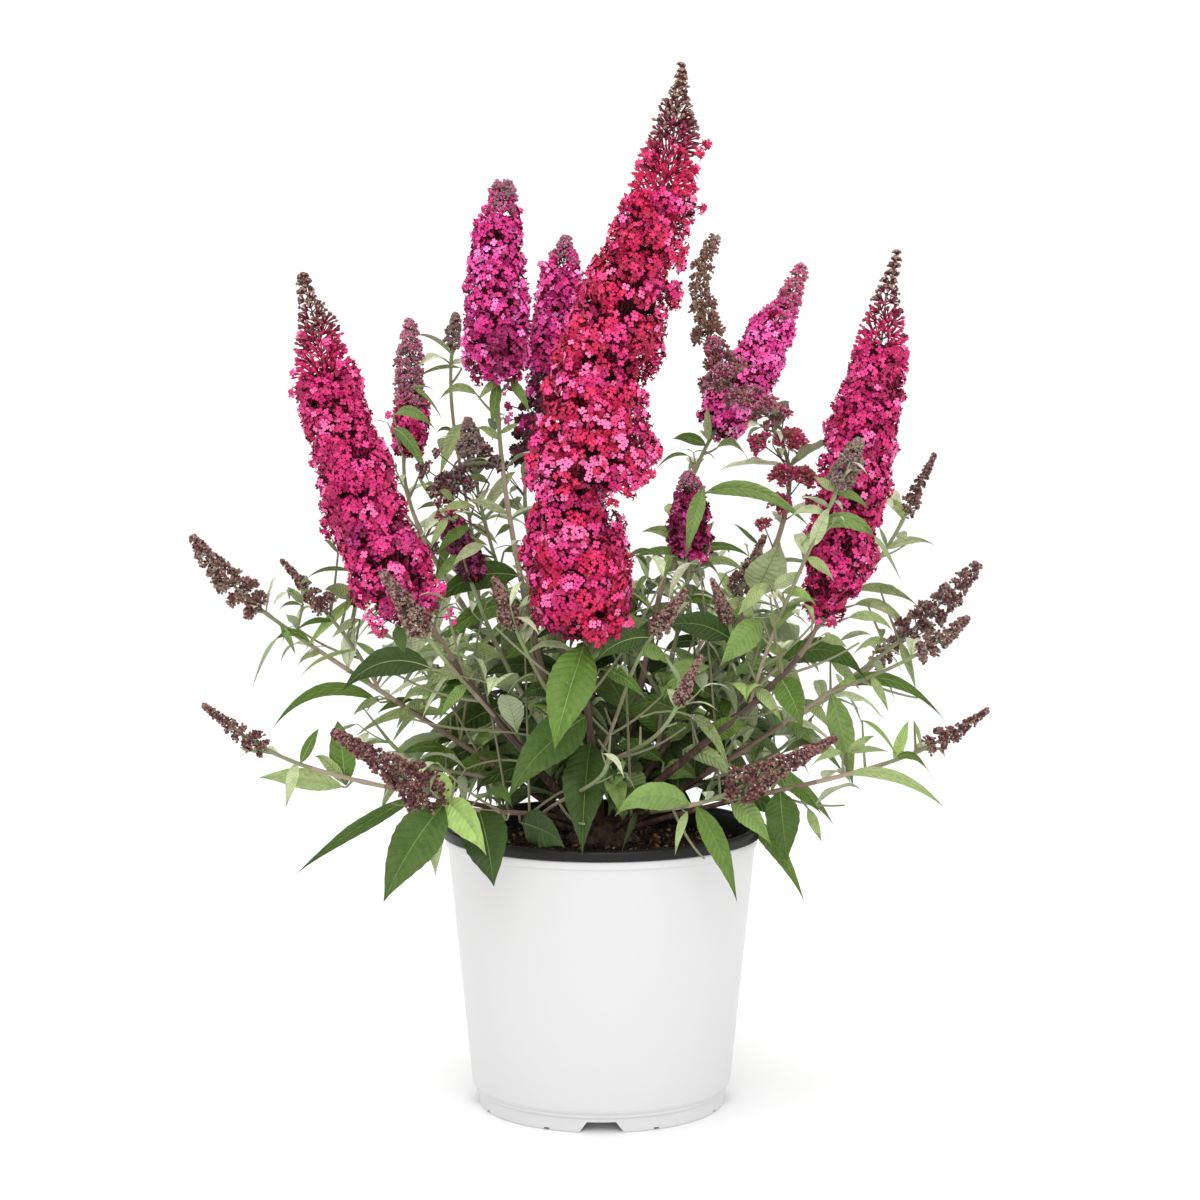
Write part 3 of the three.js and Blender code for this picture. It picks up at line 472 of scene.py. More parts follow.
def grow(shoot, seed):
    """The twigs and leaves that one shoot adds to its mass."""
    random = seeded(seed)
    habit = GROWTH[shoot.kind]

    def fits(points, spare):
        return in_space(shoot.mass, points, spare)

    twigs, leaves = [], []
    joints = max(2, math.floor(shoot.stem.length() * (1 - shoot.fork) / habit["internode"] + 0.5))
    turn = random() * math.pi
    for k in range(1, joints + 1):
        share = joint_share(shoot, k, joints, 0.35)
        point, along = shoot.stem.at(share), shoot.stem.along(share)
        joint_turn = turn + k * math.pi / 2
        size = habit["leaf"] * (1.05 - 0.5 * k / joints)
        leaf_pair(fits, point, along, joint_turn, size, random, leaves, 1 - 0.7 * k / joints)
        if k <= habit["twigs"]:
            for hand in (0, math.pi):
                side_twig(fits, point, along, joint_turn + hand + TWIG_TURN,
                          habit["twig"] * (1.1 - 0.12 * k), size * TWIG_LEAF, random, twigs, leaves)
    if shoot.kind == "leafy":
        leaf_pair(fits, shoot.spike.at(1), shoot.spike.along(1), turn, habit["leaf"] * 0.6,
                  random, leaves, 0.3)
    return twigs, leaves


# ---------------------------------------------------------------------------
# Materials
# ---------------------------------------------------------------------------


def linear(colour):
    """An 8-bit display colour as linear light."""
    shares = [c / 255 for c in colour]
    return [c / 12.92 if c <= 0.04045 else ((c + 0.055) / 1.055) ** 2.4 for c in shares] + [1]


def material(name, colour, roughness, specular=0.5, sheen=0.0):
    """A material with its colour and gloss on the shader's own sockets."""
    made = bpy.data.materials.new(name)
    made.use_nodes = True
    shader = made.node_tree.nodes["Principled BSDF"]
    shader.inputs["Base Color"].default_value = linear(colour)
    shader.inputs["Roughness"].default_value = roughness
    shader.inputs["Specular IOR Level"].default_value = specular
    shader.inputs["Sheen Weight"].default_value = sheen
    return made


def node(made, kind, inputs=None, **settings):
    """A node of a material, with its settings and the values or links of its inputs."""
    added = made.node_tree.nodes.new(kind)
    for name, value in settings.items():
        setattr(added, name, value)
    for name, value in (inputs or {}).items():
        if isinstance(value, bpy.types.NodeSocket):
            made.node_tree.links.new(value, added.inputs[name])
        else:
            added.inputs[name].default_value = value
    return added


def join_shader(made, name, socket):
    """Links a socket to an input of the material's shader."""
    shader = made.node_tree.nodes["Principled BSDF"]
    made.node_tree.links.new(socket, shader.inputs[name])


def add_bump(made, height, distance):
    """Relief on a material from a height socket, with its depth in metres."""
    bump = node(made, "ShaderNodeBump", {"Height": height, "Distance": distance, "Strength": 1.0})
    join_shader(made, "Normal", bump.outputs["Normal"])


def noise(made, scale, detail, roughness=0.6, stretch=(1, 1, 1)):
    """A noise socket in the object's own space, with its scale per metre."""
    place = node(made, "ShaderNodeTexCoord")
    sized = node(made, "ShaderNodeMapping", {"Vector": place.outputs["Object"], "Scale": stretch})
    return node(made, "ShaderNodeTexNoise", {"Vector": sized.outputs["Vector"], "Scale": scale,
                                             "Detail": detail, "Roughness": roughness}).outputs[0]


def maths(made, operation, first, second=0.0):
    """A Math node's result."""
    return node(made, "ShaderNodeMath", {0: first, 1: second}, operation=operation).outputs[0]


def tinted(made, factor, stops):
    """Colours the material by a factor, through a ramp of display colours."""
    ramp = node(made, "ShaderNodeValToRGB", {"Fac": factor})
    points = ramp.color_ramp.elements
    while len(points) < len(stops):
        points.new(0.5)
    for point, (position, colour) in zip(points, stops):
        point.position, point.color = position, linear(colour)
    join_shader(made, "Base Color", ramp.outputs["Color"])


VEIN_PAIRS = 13.0
VEIN_SLANT = 3.2
PAD_CURVE = 0.45
PAD_DEPTH = 0.7
PUCKER_SCALE = 420.0
PUCKER_DEPTH = 0.8
LEAF_RELIEF = 0.0008


def leaf_material(name, colour, relief, roughness, specular, sheen=0.0):
    """A leaf's face: side veins that slant forward, and a puckered skin between them."""
    made = material(name, colour, roughness, specular, sheen)
    place = node(made, "ShaderNodeUVMap", uv_map="Blade")
    parts = node(made, "ShaderNodeSeparateXYZ", {"Vector": place.outputs["UV"]})
    off_rib = maths(made, "ABSOLUTE", maths(made, "SUBTRACT", parts.outputs["X"], 0.5))
    along = maths(made, "MULTIPLY", parts.outputs["Y"], VEIN_PAIRS)
    slanted = maths(made, "SUBTRACT", along, maths(made, "MULTIPLY", off_rib, VEIN_SLANT))
    vein = maths(made, "PINGPONG", slanted, 0.5)
    rise = maths(made, "POWER", maths(made, "MULTIPLY", vein, 2.0), PAD_CURVE)
    pad = maths(made, "MULTIPLY", rise, PAD_DEPTH)
    pucker = maths(made, "MULTIPLY", noise(made, PUCKER_SCALE, 3.0), PUCKER_DEPTH)
    add_bump(made, maths(made, "ADD", pad, pucker), LEAF_RELIEF * relief)
    return made


# Tones of a leaf's face, with the depth of its relief, and the painted light and shade that vary
# over one face.
LEAF_TONES = {
    "deep": ((50, 73, 22), 1.0),
    "moss": ((67, 93, 30), 1.0),
    "green": ((90, 119, 44), 1.0),
    "mid": ((118, 145, 76), 1.0),
    "bright": ((156, 184, 102), 0.9),
    "sage": ((157, 175, 114), 0.9),
    "grey": ((180, 193, 144), 0.8),
    "young": ((200, 208, 170), 0.7),
}
# Dim, even and lit copies of each tone: painted shade and painted light on single faces.
LEAF_PAINTED_SHADES = {"painted_dim": 0.94, "even": 1.0, "painted_lit": 1.05}
LEAF_ROUGHNESS = 0.55
LEAF_SPECULAR = 0.34
LEAF_TOPS = [leaf_material(f"leaf_{tone}_{shade}", [c * light for c in colour], relief,
                           LEAF_ROUGHNESS, LEAF_SPECULAR)
             for tone, (colour, relief) in LEAF_TONES.items()
             for shade, light in LEAF_PAINTED_SHADES.items()]
LEAF_BACKS = [
    leaf_material("leaf_back_green", (122, 142, 88), 0.9, 0.8, 0.25, 0.1),
    leaf_material("leaf_back_grey", (142, 159, 112), 0.9, 0.8, 0.25, 0.1),
    leaf_material("leaf_back_pale", (162, 175, 138), 0.9, 0.85, 0.25, 0.15),
]
LEAF_RIBS = [
    material("leaf_rib", (112, 136, 66), 0.6, 0.3),
    material("leaf_rib_pale", (146, 162, 108), 0.65, 0.3),
]
LEAF_MATERIALS = LEAF_TOPS + LEAF_BACKS + LEAF_RIBS

STEM_MATERIALS = [
    material("stem_plum", (84, 62, 58), 0.6),
    material("stem_brown", (124, 102, 88), 0.65),
    material("stem_tan", (158, 142, 122), 0.7),
    material("stem_olive", (128, 128, 96), 0.7),
    material("stem_green", (132, 146, 104), 0.75, 0.3),
]
STEM_PLUM, STEM_BROWN, STEM_TAN, STEM_OLIVE, STEM_GREEN = range(len(STEM_MATERIALS))


# ---------------------------------------------------------------------------
# Joined pieces
# ---------------------------------------------------------------------------


def grid(rows, columns, closed=False):
    """Four-cornered faces of a grid of points, closed round on itself when asked."""
    low = np.arange(rows - 1)[:, None] * columns
    place = np.arange(columns if closed else columns - 1)[None, :]
    after = (place + 1) % columns
    return np.stack([low + place, low + after, low + columns + after, low + columns + place],
                    axis=-1).reshape(-1, 4)


class Piece:
    """One joined mesh, gathered part by part and then made."""

    def __init__(self, name, slot, nodes, materials):
        self.name, self.slot, self.nodes, self.materials = name, slot, nodes, materials
        self.points, self.faces, self.tones, self.maps, self.count = [], [], [], [], 0

    def add(self, points, faces, tones, place=None):
        """Points, faces as places in them, a material number for each, and a leaf's map."""
        self.points.append(points)
        self.faces.append(faces + self.count)
        self.tones.append(np.broadcast_to(tones, len(faces)))
        self.maps.append(np.zeros((len(points), 2)) if place is None else place)
        self.count += len(points)

    def more(self, faces, tones):
        """More faces on the points that were added last."""
        self.faces.append(faces + self.count - len(self.points[-1]))
        self.tones.append(np.broadcast_to(tones, len(faces)))

    def build(self, sharp=50):
        """The mesh object, riding on the body and standing for its nodes.

        Edges that turn by more degrees than sharp stay sharp.
        """
        mesh = bpy.data.meshes.new(self.name)
        points = np.concatenate(self.points) / METRE
        corners = np.concatenate([faces.ravel() for faces in self.faces])
        sizes = np.concatenate([np.full(len(faces), faces.shape[1]) for faces in self.faces])
        mesh.vertices.add(len(points))
        mesh.vertices.foreach_set("co", points.ravel())
        mesh.loops.add(len(corners))
        mesh.loops.foreach_set("vertex_index", corners)
        mesh.polygons.add(len(sizes))
        mesh.polygons.foreach_set("loop_start", np.cumsum(sizes) - sizes)
        mesh.polygons.foreach_set("material_index", np.concatenate(self.tones))
        for made in self.materials:
            mesh.materials.append(made)
        mesh.update(calc_edges=True)
        blade = mesh.uv_layers.new(name="Blade")
        blade.data.foreach_set("uv", np.concatenate(self.maps)[corners].ravel())
        mesh.shade_smooth()
        mesh.set_sharp_from_angle(angle=math.radians(sharp))
        mesh.validate()
        made = bpy.data.objects.new(self.name, mesh)
        bpy.context.scene.collection.objects.link(made)
        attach(made, "root")
        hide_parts(*self.nodes)


def frames(points):
    """Unit directions along a line of points, and two across it that don't spin."""
    along = unit(np.gradient(points, axis=0))
    across = np.empty_like(along)
    last = np.array([1.0, 0, 0]) if abs(along[0, 0]) < 0.9 else np.array([0, 1.0, 0])
    for i, direction in enumerate(along):
        last = unit(last - direction * (direction @ last))
        across[i] = last
    return along, across, np.cross(along, across)


TIP_RISE = 0.6


def sweep(piece, points, radii, sides, tones, relief=None):
    """A tube through points, rounded off at its end."""
    along, across, other = frames(points)
    turn = np.arange(sides) * 2 * math.pi / sides
    ring = (np.cos(turn)[None, :, None] * across[:, None]
            + np.sin(turn)[None, :, None] * other[:, None])
    reach = np.broadcast_to(radii[:, None], (len(points), sides))
    if relief is not None:
        reach = reach * relief
    skin = (points[:, None] + ring * reach[..., None]).reshape(-1, 3)
    tip = points[-1] + along[-1] * radii[-1] * TIP_RISE
    tones = np.broadcast_to(tones, len(points) - 1)
    piece.add(np.vstack([skin, tip]), grid(len(points), sides, True), np.repeat(tones, sides))
    last = (len(points) - 1) * sides
    place = np.arange(sides)
    cap = np.stack([last + place, last + (place + 1) % sides, np.full(sides, len(skin))], axis=1)
    piece.more(cap, tones[-1])


def stamp(piece, shape, places, facings, spins, sizes, tones):
    """Copies of a small shape, each with its place, facing, spin, size and tones by part.

    The shape is (points, triangles, part of each triangle). Sizes are (n, 3), and tones are
    (n, parts).
    """
    points, faces, parts = shape
    facings = unit(facings)
    level = np.where(np.abs(facings[:, 2:]) < 0.9, UP, np.array([1.0, 0, 0]))
    east = unit(np.cross(level, facings))
    north = np.cross(facings, east)
    cosine, sine = np.cos(spins)[:, None], np.sin(spins)[:, None]
    first, second = east * cosine + north * sine, north * cosine - east * sine
    sized = points[None] * sizes[:, None]
    placed = (places[:, None] + sized[..., 0:1] * first[:, None]
              + sized[..., 1:2] * second[:, None] + sized[..., 2:3] * facings[:, None])
    offsets = (np.arange(len(places)) * len(points))[:, None, None]
    piece.add(placed.reshape(-1, 3), (faces[None] + offsets).reshape(-1, 3),
              tones[:, parts].reshape(-1))


# ---------------------------------------------------------------------------
# Leaves
# ---------------------------------------------------------------------------


LEAF_STALK = 0.03
TOOTH = 0.045
FLECK = 0.85
PAINTED_SIDE_LIGHT = 0.8
RIB_RISE = 0.12


def column(leaves, name):
    """One measure of every leaf, as a column."""
    return np.array([getattr(leaf, name) for leaf in leaves], float)[:, None]


def leaf_spines(leaves, share, draw):
    """Points along the midribs, with the directions across and out of the blades there."""
    length, droop, root, direction, side = (
        column(leaves, name) for name in ("length", "droop", "root", "direction", "side"))
    fall = droop * (1.35 * share**2 - 0.28 * share) + draw(0, 0.16) * share**5
    sway = draw(-0.07, 0.07) * share**2
    centre = (root + direction * (length * share)[..., None] - UP * (length * fall)[..., None]
              + side * (length * sway)[..., None])
    along = unit(np.gradient(centre, axis=1))
    side = unit(side - along * (along * side).sum(-1, keepdims=True))
    normal = np.cross(side, along)
    twist = (draw(-0.5, 0.5) * share**1.5)[..., None]
    return (centre, side * np.cos(twist) + normal * np.sin(twist),
            normal * np.cos(twist) - side * np.sin(twist))


def leaf_halves(width, share, draw):
    """Half breadths of lance-shaped blades along their length, no finer than their stalk."""
    base, end = draw(0.72, 1.0), draw(1.15, 1.5)
    blade = np.clip((share - LEAF_STALK) / (1 - LEAF_STALK), 0, 1)
    peak = base**base * end**end / (base + end) ** (base + end)
    half = width / 2 * blade**base * (1 - blade) ** end / peak
    return np.maximum(half, np.minimum(0.02 * width + 0.25, 0.7) * (1 - share) ** 0.5)


def leaf_relief(half, share, columns, draw):
    """How far points of the blades lie from their midribs, across them and out of them."""
    fold = draw(0.05, 0.45) * (1 - 0.6 * share)
    puff = draw(0.02, 0.14)
    curl = draw(-0.05, 0.22) * share
    wave, waves, phase = draw(0.02, 0.13), draw(1.5, 3.2), draw(0, 6.28)
    place = np.linspace(-1, 1, columns)[None, None, :]
    off = np.abs(place)
    tooth = np.ones((1, share.shape[1], columns))
    if columns > 3:
        tooth[0, 2:-2:2, [0, -1]] += TOOTH
    out = half[..., None] * place * np.cos(fold)[..., None] * tooth
    rise = half[..., None] * (
        off * np.sin(fold)[..., None] + 4 * puff[..., None] * (off - off**2)
        - curl[..., None] * off**3
        + off * (wave * np.sin(waves * 6.28 * share + phase))[..., None] * (1 + 0.7 * place))
    return out, rise


def leaf_faces(rows, columns):
    """Faces of a blade, and of its back, which closes on a keel under the midrib."""
    row = np.arange(rows - 1)
    keel = rows * columns + row
    margins = []
    for edge, flip in ((0, False), (columns - 1, True)):
        rim = row * columns + edge
        quad = np.stack([rim, rim + columns, keel + 1, keel], axis=1)
        margins.append(quad[:, ::-1] if flip else quad)
    return grid(rows, columns), np.concatenate(margins)


def leaf_map(share, columns):
    """Where a leaf's points lie on it: across the blade and along it, then on the keel."""
    across = (np.linspace(-1, 1, columns) / 2 + 0.5)[None, :]
    blade = np.stack(np.broadcast_arrays(across, share.T), axis=-1)
    keel = np.stack(np.broadcast_arrays(0.5, share[0]), axis=-1)
    return np.concatenate([blade.reshape(-1, 2), keel])


def painted_face_shades(count, rows, columns, rng):
    """A shade for each face of the blades: flecks of painted light and shade, and one half painted
    lighter as if it caught the light.
    """
    painted_flecks = rng.normal(0, 1, (count, rows - 1, columns - 1))
    painted_lit_half = rng.choice([-PAINTED_SIDE_LIGHT, 0, PAINTED_SIDE_LIGHT], (count, 1, 1)) * np.sign(
        np.arange(columns - 1) - (columns - 2) / 2)
    return 1 + (painted_flecks + painted_lit_half > FLECK) - (painted_flecks + painted_lit_half < -FLECK)


def add_ribs(piece, centre, keel, side, normal, breadth, ribs):
    """Midribs: a strip raised on each blade, and a ridge under it."""
    raised = centre + normal * RIB_RISE
    strip = np.stack([raised - side * breadth, raised + side * breadth], axis=2)
    ridge = np.stack([keel - side * breadth * 1.3 + normal * 0.02,
                      keel - normal * breadth * 1.2,
                      keel + side * breadth * 1.3 + normal * 0.02], axis=2)
    count, rows = centre.shape[:2]
    for shape, faces, wide in ((strip, grid(rows, 2), 2), (ridge, grid(rows, 3)[:, ::-1], 3)):
        offsets = (np.arange(count) * rows * wide)[:, None, None]
        piece.add(shape.reshape(-1, 3), (faces[None] + offsets).reshape(-1, 4),
                  np.repeat(ribs, len(faces)))


def add_leaves(piece, leaves, rows, columns, ribbed, rng):
    """Leaves of one fineness: a lance-shaped blade, its pale back, and its midrib."""
    count = len(leaves)
    share = np.linspace(0, 1, rows)[None, :]

    def draw(low, high):
        return rng.uniform(low, high, (count, 1))

    length, width = column(leaves, "length"), column(leaves, "width")
    centre, side, normal = leaf_spines(leaves, share, draw)
    half = leaf_halves(width, share, draw)
    out, rise = leaf_relief(half, share, columns, draw)
    top = (centre[:, :, None] + side[:, :, None] * out[..., None]
           + normal[:, :, None] * rise[..., None])
    thickness = np.minimum(0.16 + 0.004 * length, 0.5) * (1 - share) ** 0.3
    keel = centre - normal * thickness[..., None]
    points = np.concatenate([top.reshape(count, -1, 3), keel], axis=1)
    sheet, back = leaf_faces(rows, columns)
    # Each face takes a dim, even or lit copy of its leaf's tone: painted light and shade.
    shade = painted_face_shades(count, rows, columns, rng)
    tops = np.array([leaf.top for leaf in leaves])[:, None, None] * len(LEAF_PAINTED_SHADES) + shade
    backs = np.array([leaf.back for leaf in leaves]) + len(LEAF_TOPS)
    offsets = (np.arange(count) * points.shape[1])[:, None, None]
    piece.add(points.reshape(-1, 3), (sheet[None] + offsets).reshape(-1, 4), tops.reshape(-1),
              np.tile(leaf_map(share, columns), (count, 1)))
    piece.more((back[None] + offsets).reshape(-1, 4), np.repeat(backs, len(back)))
    if ribbed:
        breadth = ((0.18 + 0.008 * width) * (1 - share) ** 0.7)[..., None]
        ribs = np.array([leaf.rib for leaf in leaves]) + len(LEAF_TOPS) + len(LEAF_BACKS)
        add_ribs(piece, centre, keel, side, normal, breadth, ribs)


TONE = {name: place for place, name in enumerate(LEAF_TONES)}
AGE_AND_SHADE_TONES = [TONE[name] for name in ("young", "grey", "sage", "mid", "green", "moss", "deep")]
AGE_AND_SHADE_STEPS = np.array([0.15, 0.28, 0.38, 0.52, 0.66, 0.8])
# Low leaves in the heart of the shrub, darkened with painted shade.
PAINTED_SHADE_BELOW = 265
PAINTED_SHADE_WITHIN = 95


def deal_leaf(leaf, rng):
    """Gives a leaf its tones: deep and mossy when old, sage and grey when young, with painted light
    that makes high and outer leaves lighter and painted shade that makes low ones in the heart of
    the shrub darker.
    """
    if leaf.tone is None:
        leaf.width *= 0.66 + 0.4 * leaf.age
    # Lower leaves go darker and higher and outer ones lighter: painted light and shade added to the
    # leaf's age.
    mark = (leaf.age + rng.normal(0, 0.2) - (leaf.root[2] - 290) / 470
            - max(0, abs(leaf.root[0]) - 40) / 310)
    if leaf.root[2] < PAINTED_SHADE_BELOW and abs(leaf.root[0]) < PAINTED_SHADE_WITHIN:
        mark += 0.2
    leaf.top = AGE_AND_SHADE_TONES[int(np.searchsorted(AGE_AND_SHADE_STEPS, mark))]
    if 0.3 < mark < 0.62 and rng.random() < 0.22:
        leaf.top = TONE["bright"]
    if leaf.tone is not None:
        leaf.top = leaf.tone
    leaf.back = int(np.clip(round(2.2 - 2.2 * mark + rng.normal(0, 0.4)), 0, 2))
    leaf.rib = 0 if mark > 0.45 else 1


# ---------------------------------------------------------------------------
# Growth: the source's rule, then finer shoots in the same reach
# ---------------------------------------------------------------------------

BLOOMS = [shoot for shoot in SHOOTS if shoot.kind == "bloom"]
BLOOM_SHARES = np.linspace(0, 1, 24)
BLOOM_AT = np.concatenate([shoot.spike.at(BLOOM_SHARES) for shoot in BLOOMS])
BLOOM_RADIUS = np.concatenate([spike_radius(shoot, BLOOM_SHARES) for shoot in BLOOMS])

# The viewer's place before the shrub, where the camera stands too.
EYE = np.array([-1.06, -1800, 503.1])
FRONT = np.array([0.0, 1, 0])

FINE_SEED = 9001
SCATTER_SEED = 61
LIFE_SIZE = 0.78
LIFTED = 0.55
FINE_JOINT = 38
FINE_LEAF = 72
FINE_LEAF_TAPER = 26
MIDDLE_LEAF = 46
END_LEAF = 40
TUFT_CHANCE = 0.15
TUFT_REACH = (12, 28)
TUFT_LEAF = (18, 32)
FILLERS = 44
FILLER_JOINT = 27
FILLER_LEAF = (62, 82)
FILLER_TUFT_REACH = (12, 22)
FILLER_TUFT_LEAF = (26, 34)
INNER_LEAVES = 54
INNER_LEAF = (60, 82)
INNER_FRONT_LEAVES = 46
INNER_FRONT_X = (-115, 115)
INNER_FRONT_Z = (228, 333)
INNER_FRONT_REACH = (22, 58)
INNER_FRONT_WIDTH = (13, 21)
CROWN_REACH = 195
CROWN_MIDDLE = 205
CROWN_HALF_HEIGHT = 235
OUTSKIRTS = 135
OUTSKIRTS_SHARE = 0.6

# Radii at the foot and the tip of a twig, of a tuft's, of a filler's and of a shown leaf's.
TWIG_RADII = (1.15, 0.7)
TUFT_RADII = (0.75, 0.45)
FILLER_RADII = (1.05, 0.6)
BEARER_RADII = (1.1, 0.7)
STOUT = 1


def seen(points):
    """Where points show on the plane through the pot's axis."""
    return (EYE + (points - EYE) * (EYE[1] / (EYE[1] - points[..., 1]))[..., None])[..., [0, 2]]


def sight(x, z, depth):
    """The point at a depth that shows at a place on that plane."""
    return EYE + (np.array([x, 0, z]) - EYE) * (1 - depth / EYE[1])


def fits_fine(points, spare):
    """True where finer growth stays out of the pot, the canes and the flower spikes."""
    if not clear_of_pot(points, spare).all():
        return False
    return bool(gaps(points, CANE_AT, CANE_RADIUS).min() > 1
                and gaps(points, BLOOM_AT, 0.8 * BLOOM_RADIUS).min() > 0)


def tuft(point, along, turn, reach, size, random, twigs, leaves):
    """A short young shoot in a leaf's axil, with small leaves."""
    across = across_stem(along, turn)
    direction = unit(along * 0.8 + across * 0.6)
    tip = point + direction * reach + UP * reach * 0.25
    curve = Bezier(point, point + direction * reach / 2, tip)
    twigs.append((curve, *TUFT_RADII))
    pairs = 2 if reach < 20 else 3
    for k in range(1, pairs + 1):
        share = k / pairs
        leaf_pair(fits_fine, curve.at(share), curve.along(share), turn + k * math.pi / 2,
                  size * (1.1 - 0.3 * share), random, leaves, 0.2)


def filler(start, target, random, twigs, leaves, size):
    """A leafy shoot from a point on a limb to a place inside the crown."""
    reach = np.linalg.norm(target - start)
    lift = UP * reach * 0.3
    curve = Bezier(start, (start + target) / 2 + lift * 0.6, target)
    if not fits_fine(curve.at(np.array([0.35, 0.55, 0.75, 1.0])), 1):
        return
    twigs.append((curve, *FILLER_RADII))
    joints = max(2, round(reach / FILLER_JOINT))
    turn = random() * math.pi
    for k in range(1, joints + 1):
        share = 0.22 + 0.78 * k / joints
        leaf_pair(fits_fine, curve.at(share), curve.along(share), turn + k * math.pi / 2,
                  size * (1.12 - 0.5 * k / joints), random, leaves, 0.75 - 0.45 * k / joints)
    tuft(curve.at(1.0), curve.along(1.0), turn, between(random, FILLER_TUFT_REACH),
         between(random, FILLER_TUFT_LEAF), random, twigs, leaves)


def overhangs(leaf):
    """True of a leaf that would hang down over the pot's wall."""
    x, y, z = leaf.spine(1)
    return z < RIM_TOP + 4 and math.hypot(x, y) > RIM_RADIUS - 25


def refine(index, shoot, random, twigs, leaves):
    """A shoot's growth by the source's rule at life size, then its finer leaves and tufts."""
    own_twigs, own_leaves = grow(shoot, SEED + SEED_STEP * index)
    twigs += [(curve, *TWIG_RADII) for curve in own_twigs]
    leaves += own_leaves
    for leaf in own_leaves:
        leaf.length *= LIFE_SIZE
        leaf.width *= LIFE_SIZE
        lift = 0.45 * max(0, LIFTED - leaf.direction[2])
        leaf.direction = unit(leaf.direction + UP * lift)
    joints = max(2, round(shoot.stem.length() * (1 - shoot.fork) / FINE_JOINT))
    for k in range(1, joints + 1):
        share = joint_share(shoot, k, joints, 0.1)
        point, along = shoot.stem.at(share), shoot.stem.along(share)
        turn = random() * math.pi
        leaf_pair(fits_fine, point, along, turn, FINE_LEAF - FINE_LEAF_TAPER * k / joints,
                  random, leaves, 0.75 - 0.5 * k / joints)
        if k > joints - 2 or random() < TUFT_CHANCE:
            tuft(point, along, turn + 0.5, between(random, TUFT_REACH),
                 between(random, TUFT_LEAF), random, twigs, leaves)
    for curve in own_twigs:
        leaf_pair(fits_fine, curve.at(0.6), curve.along(0.6), random() * math.pi, MIDDLE_LEAF,
                  random, leaves, 0.55)
        leaf_pair(fits_fine, curve.at(0.98), curve.along(1.0), random() * 3.14, END_LEAF,
                  random, leaves, 0.35)


def fill_crown(random, twigs, leaves):
    """Leaves low on the canes, and leafy shoots inside the crown."""
    for index in range(INNER_LEAVES):
        carrier = CANES[index % len(CANES)]
        share = carrier.fork * (0.3 + 0.7 * random())
        leaf_pair(fits_fine, carrier.stem.at(share), carrier.stem.along(share),
                  random() * math.pi, between(random, INNER_LEAF), random, leaves, 1.0)
    for index in range(FILLERS):
        carrier = CANES[index % len(CANES)]
        if index % 2:
            share = carrier.fork * (0.55 + 0.43 * random())
        else:
            share = carrier.fork + 0.1 * random()
        bearing = math.radians(carrier.foot[0]) + (random() - 0.5) * 1.5
        height = 226 + 165 * random() ** 1.1
        breadth = math.sqrt(1 - ((height - CROWN_MIDDLE) / CROWN_HALF_HEIGHT) ** 2)
        across = CROWN_REACH * breadth * (0.42 + 0.45 * random())
        target = np.array([across * math.cos(bearing), across * 0.9 * math.sin(bearing), height])
        filler(carrier.stem.at(share), target, random, twigs, leaves,
               between(random, FILLER_LEAF))


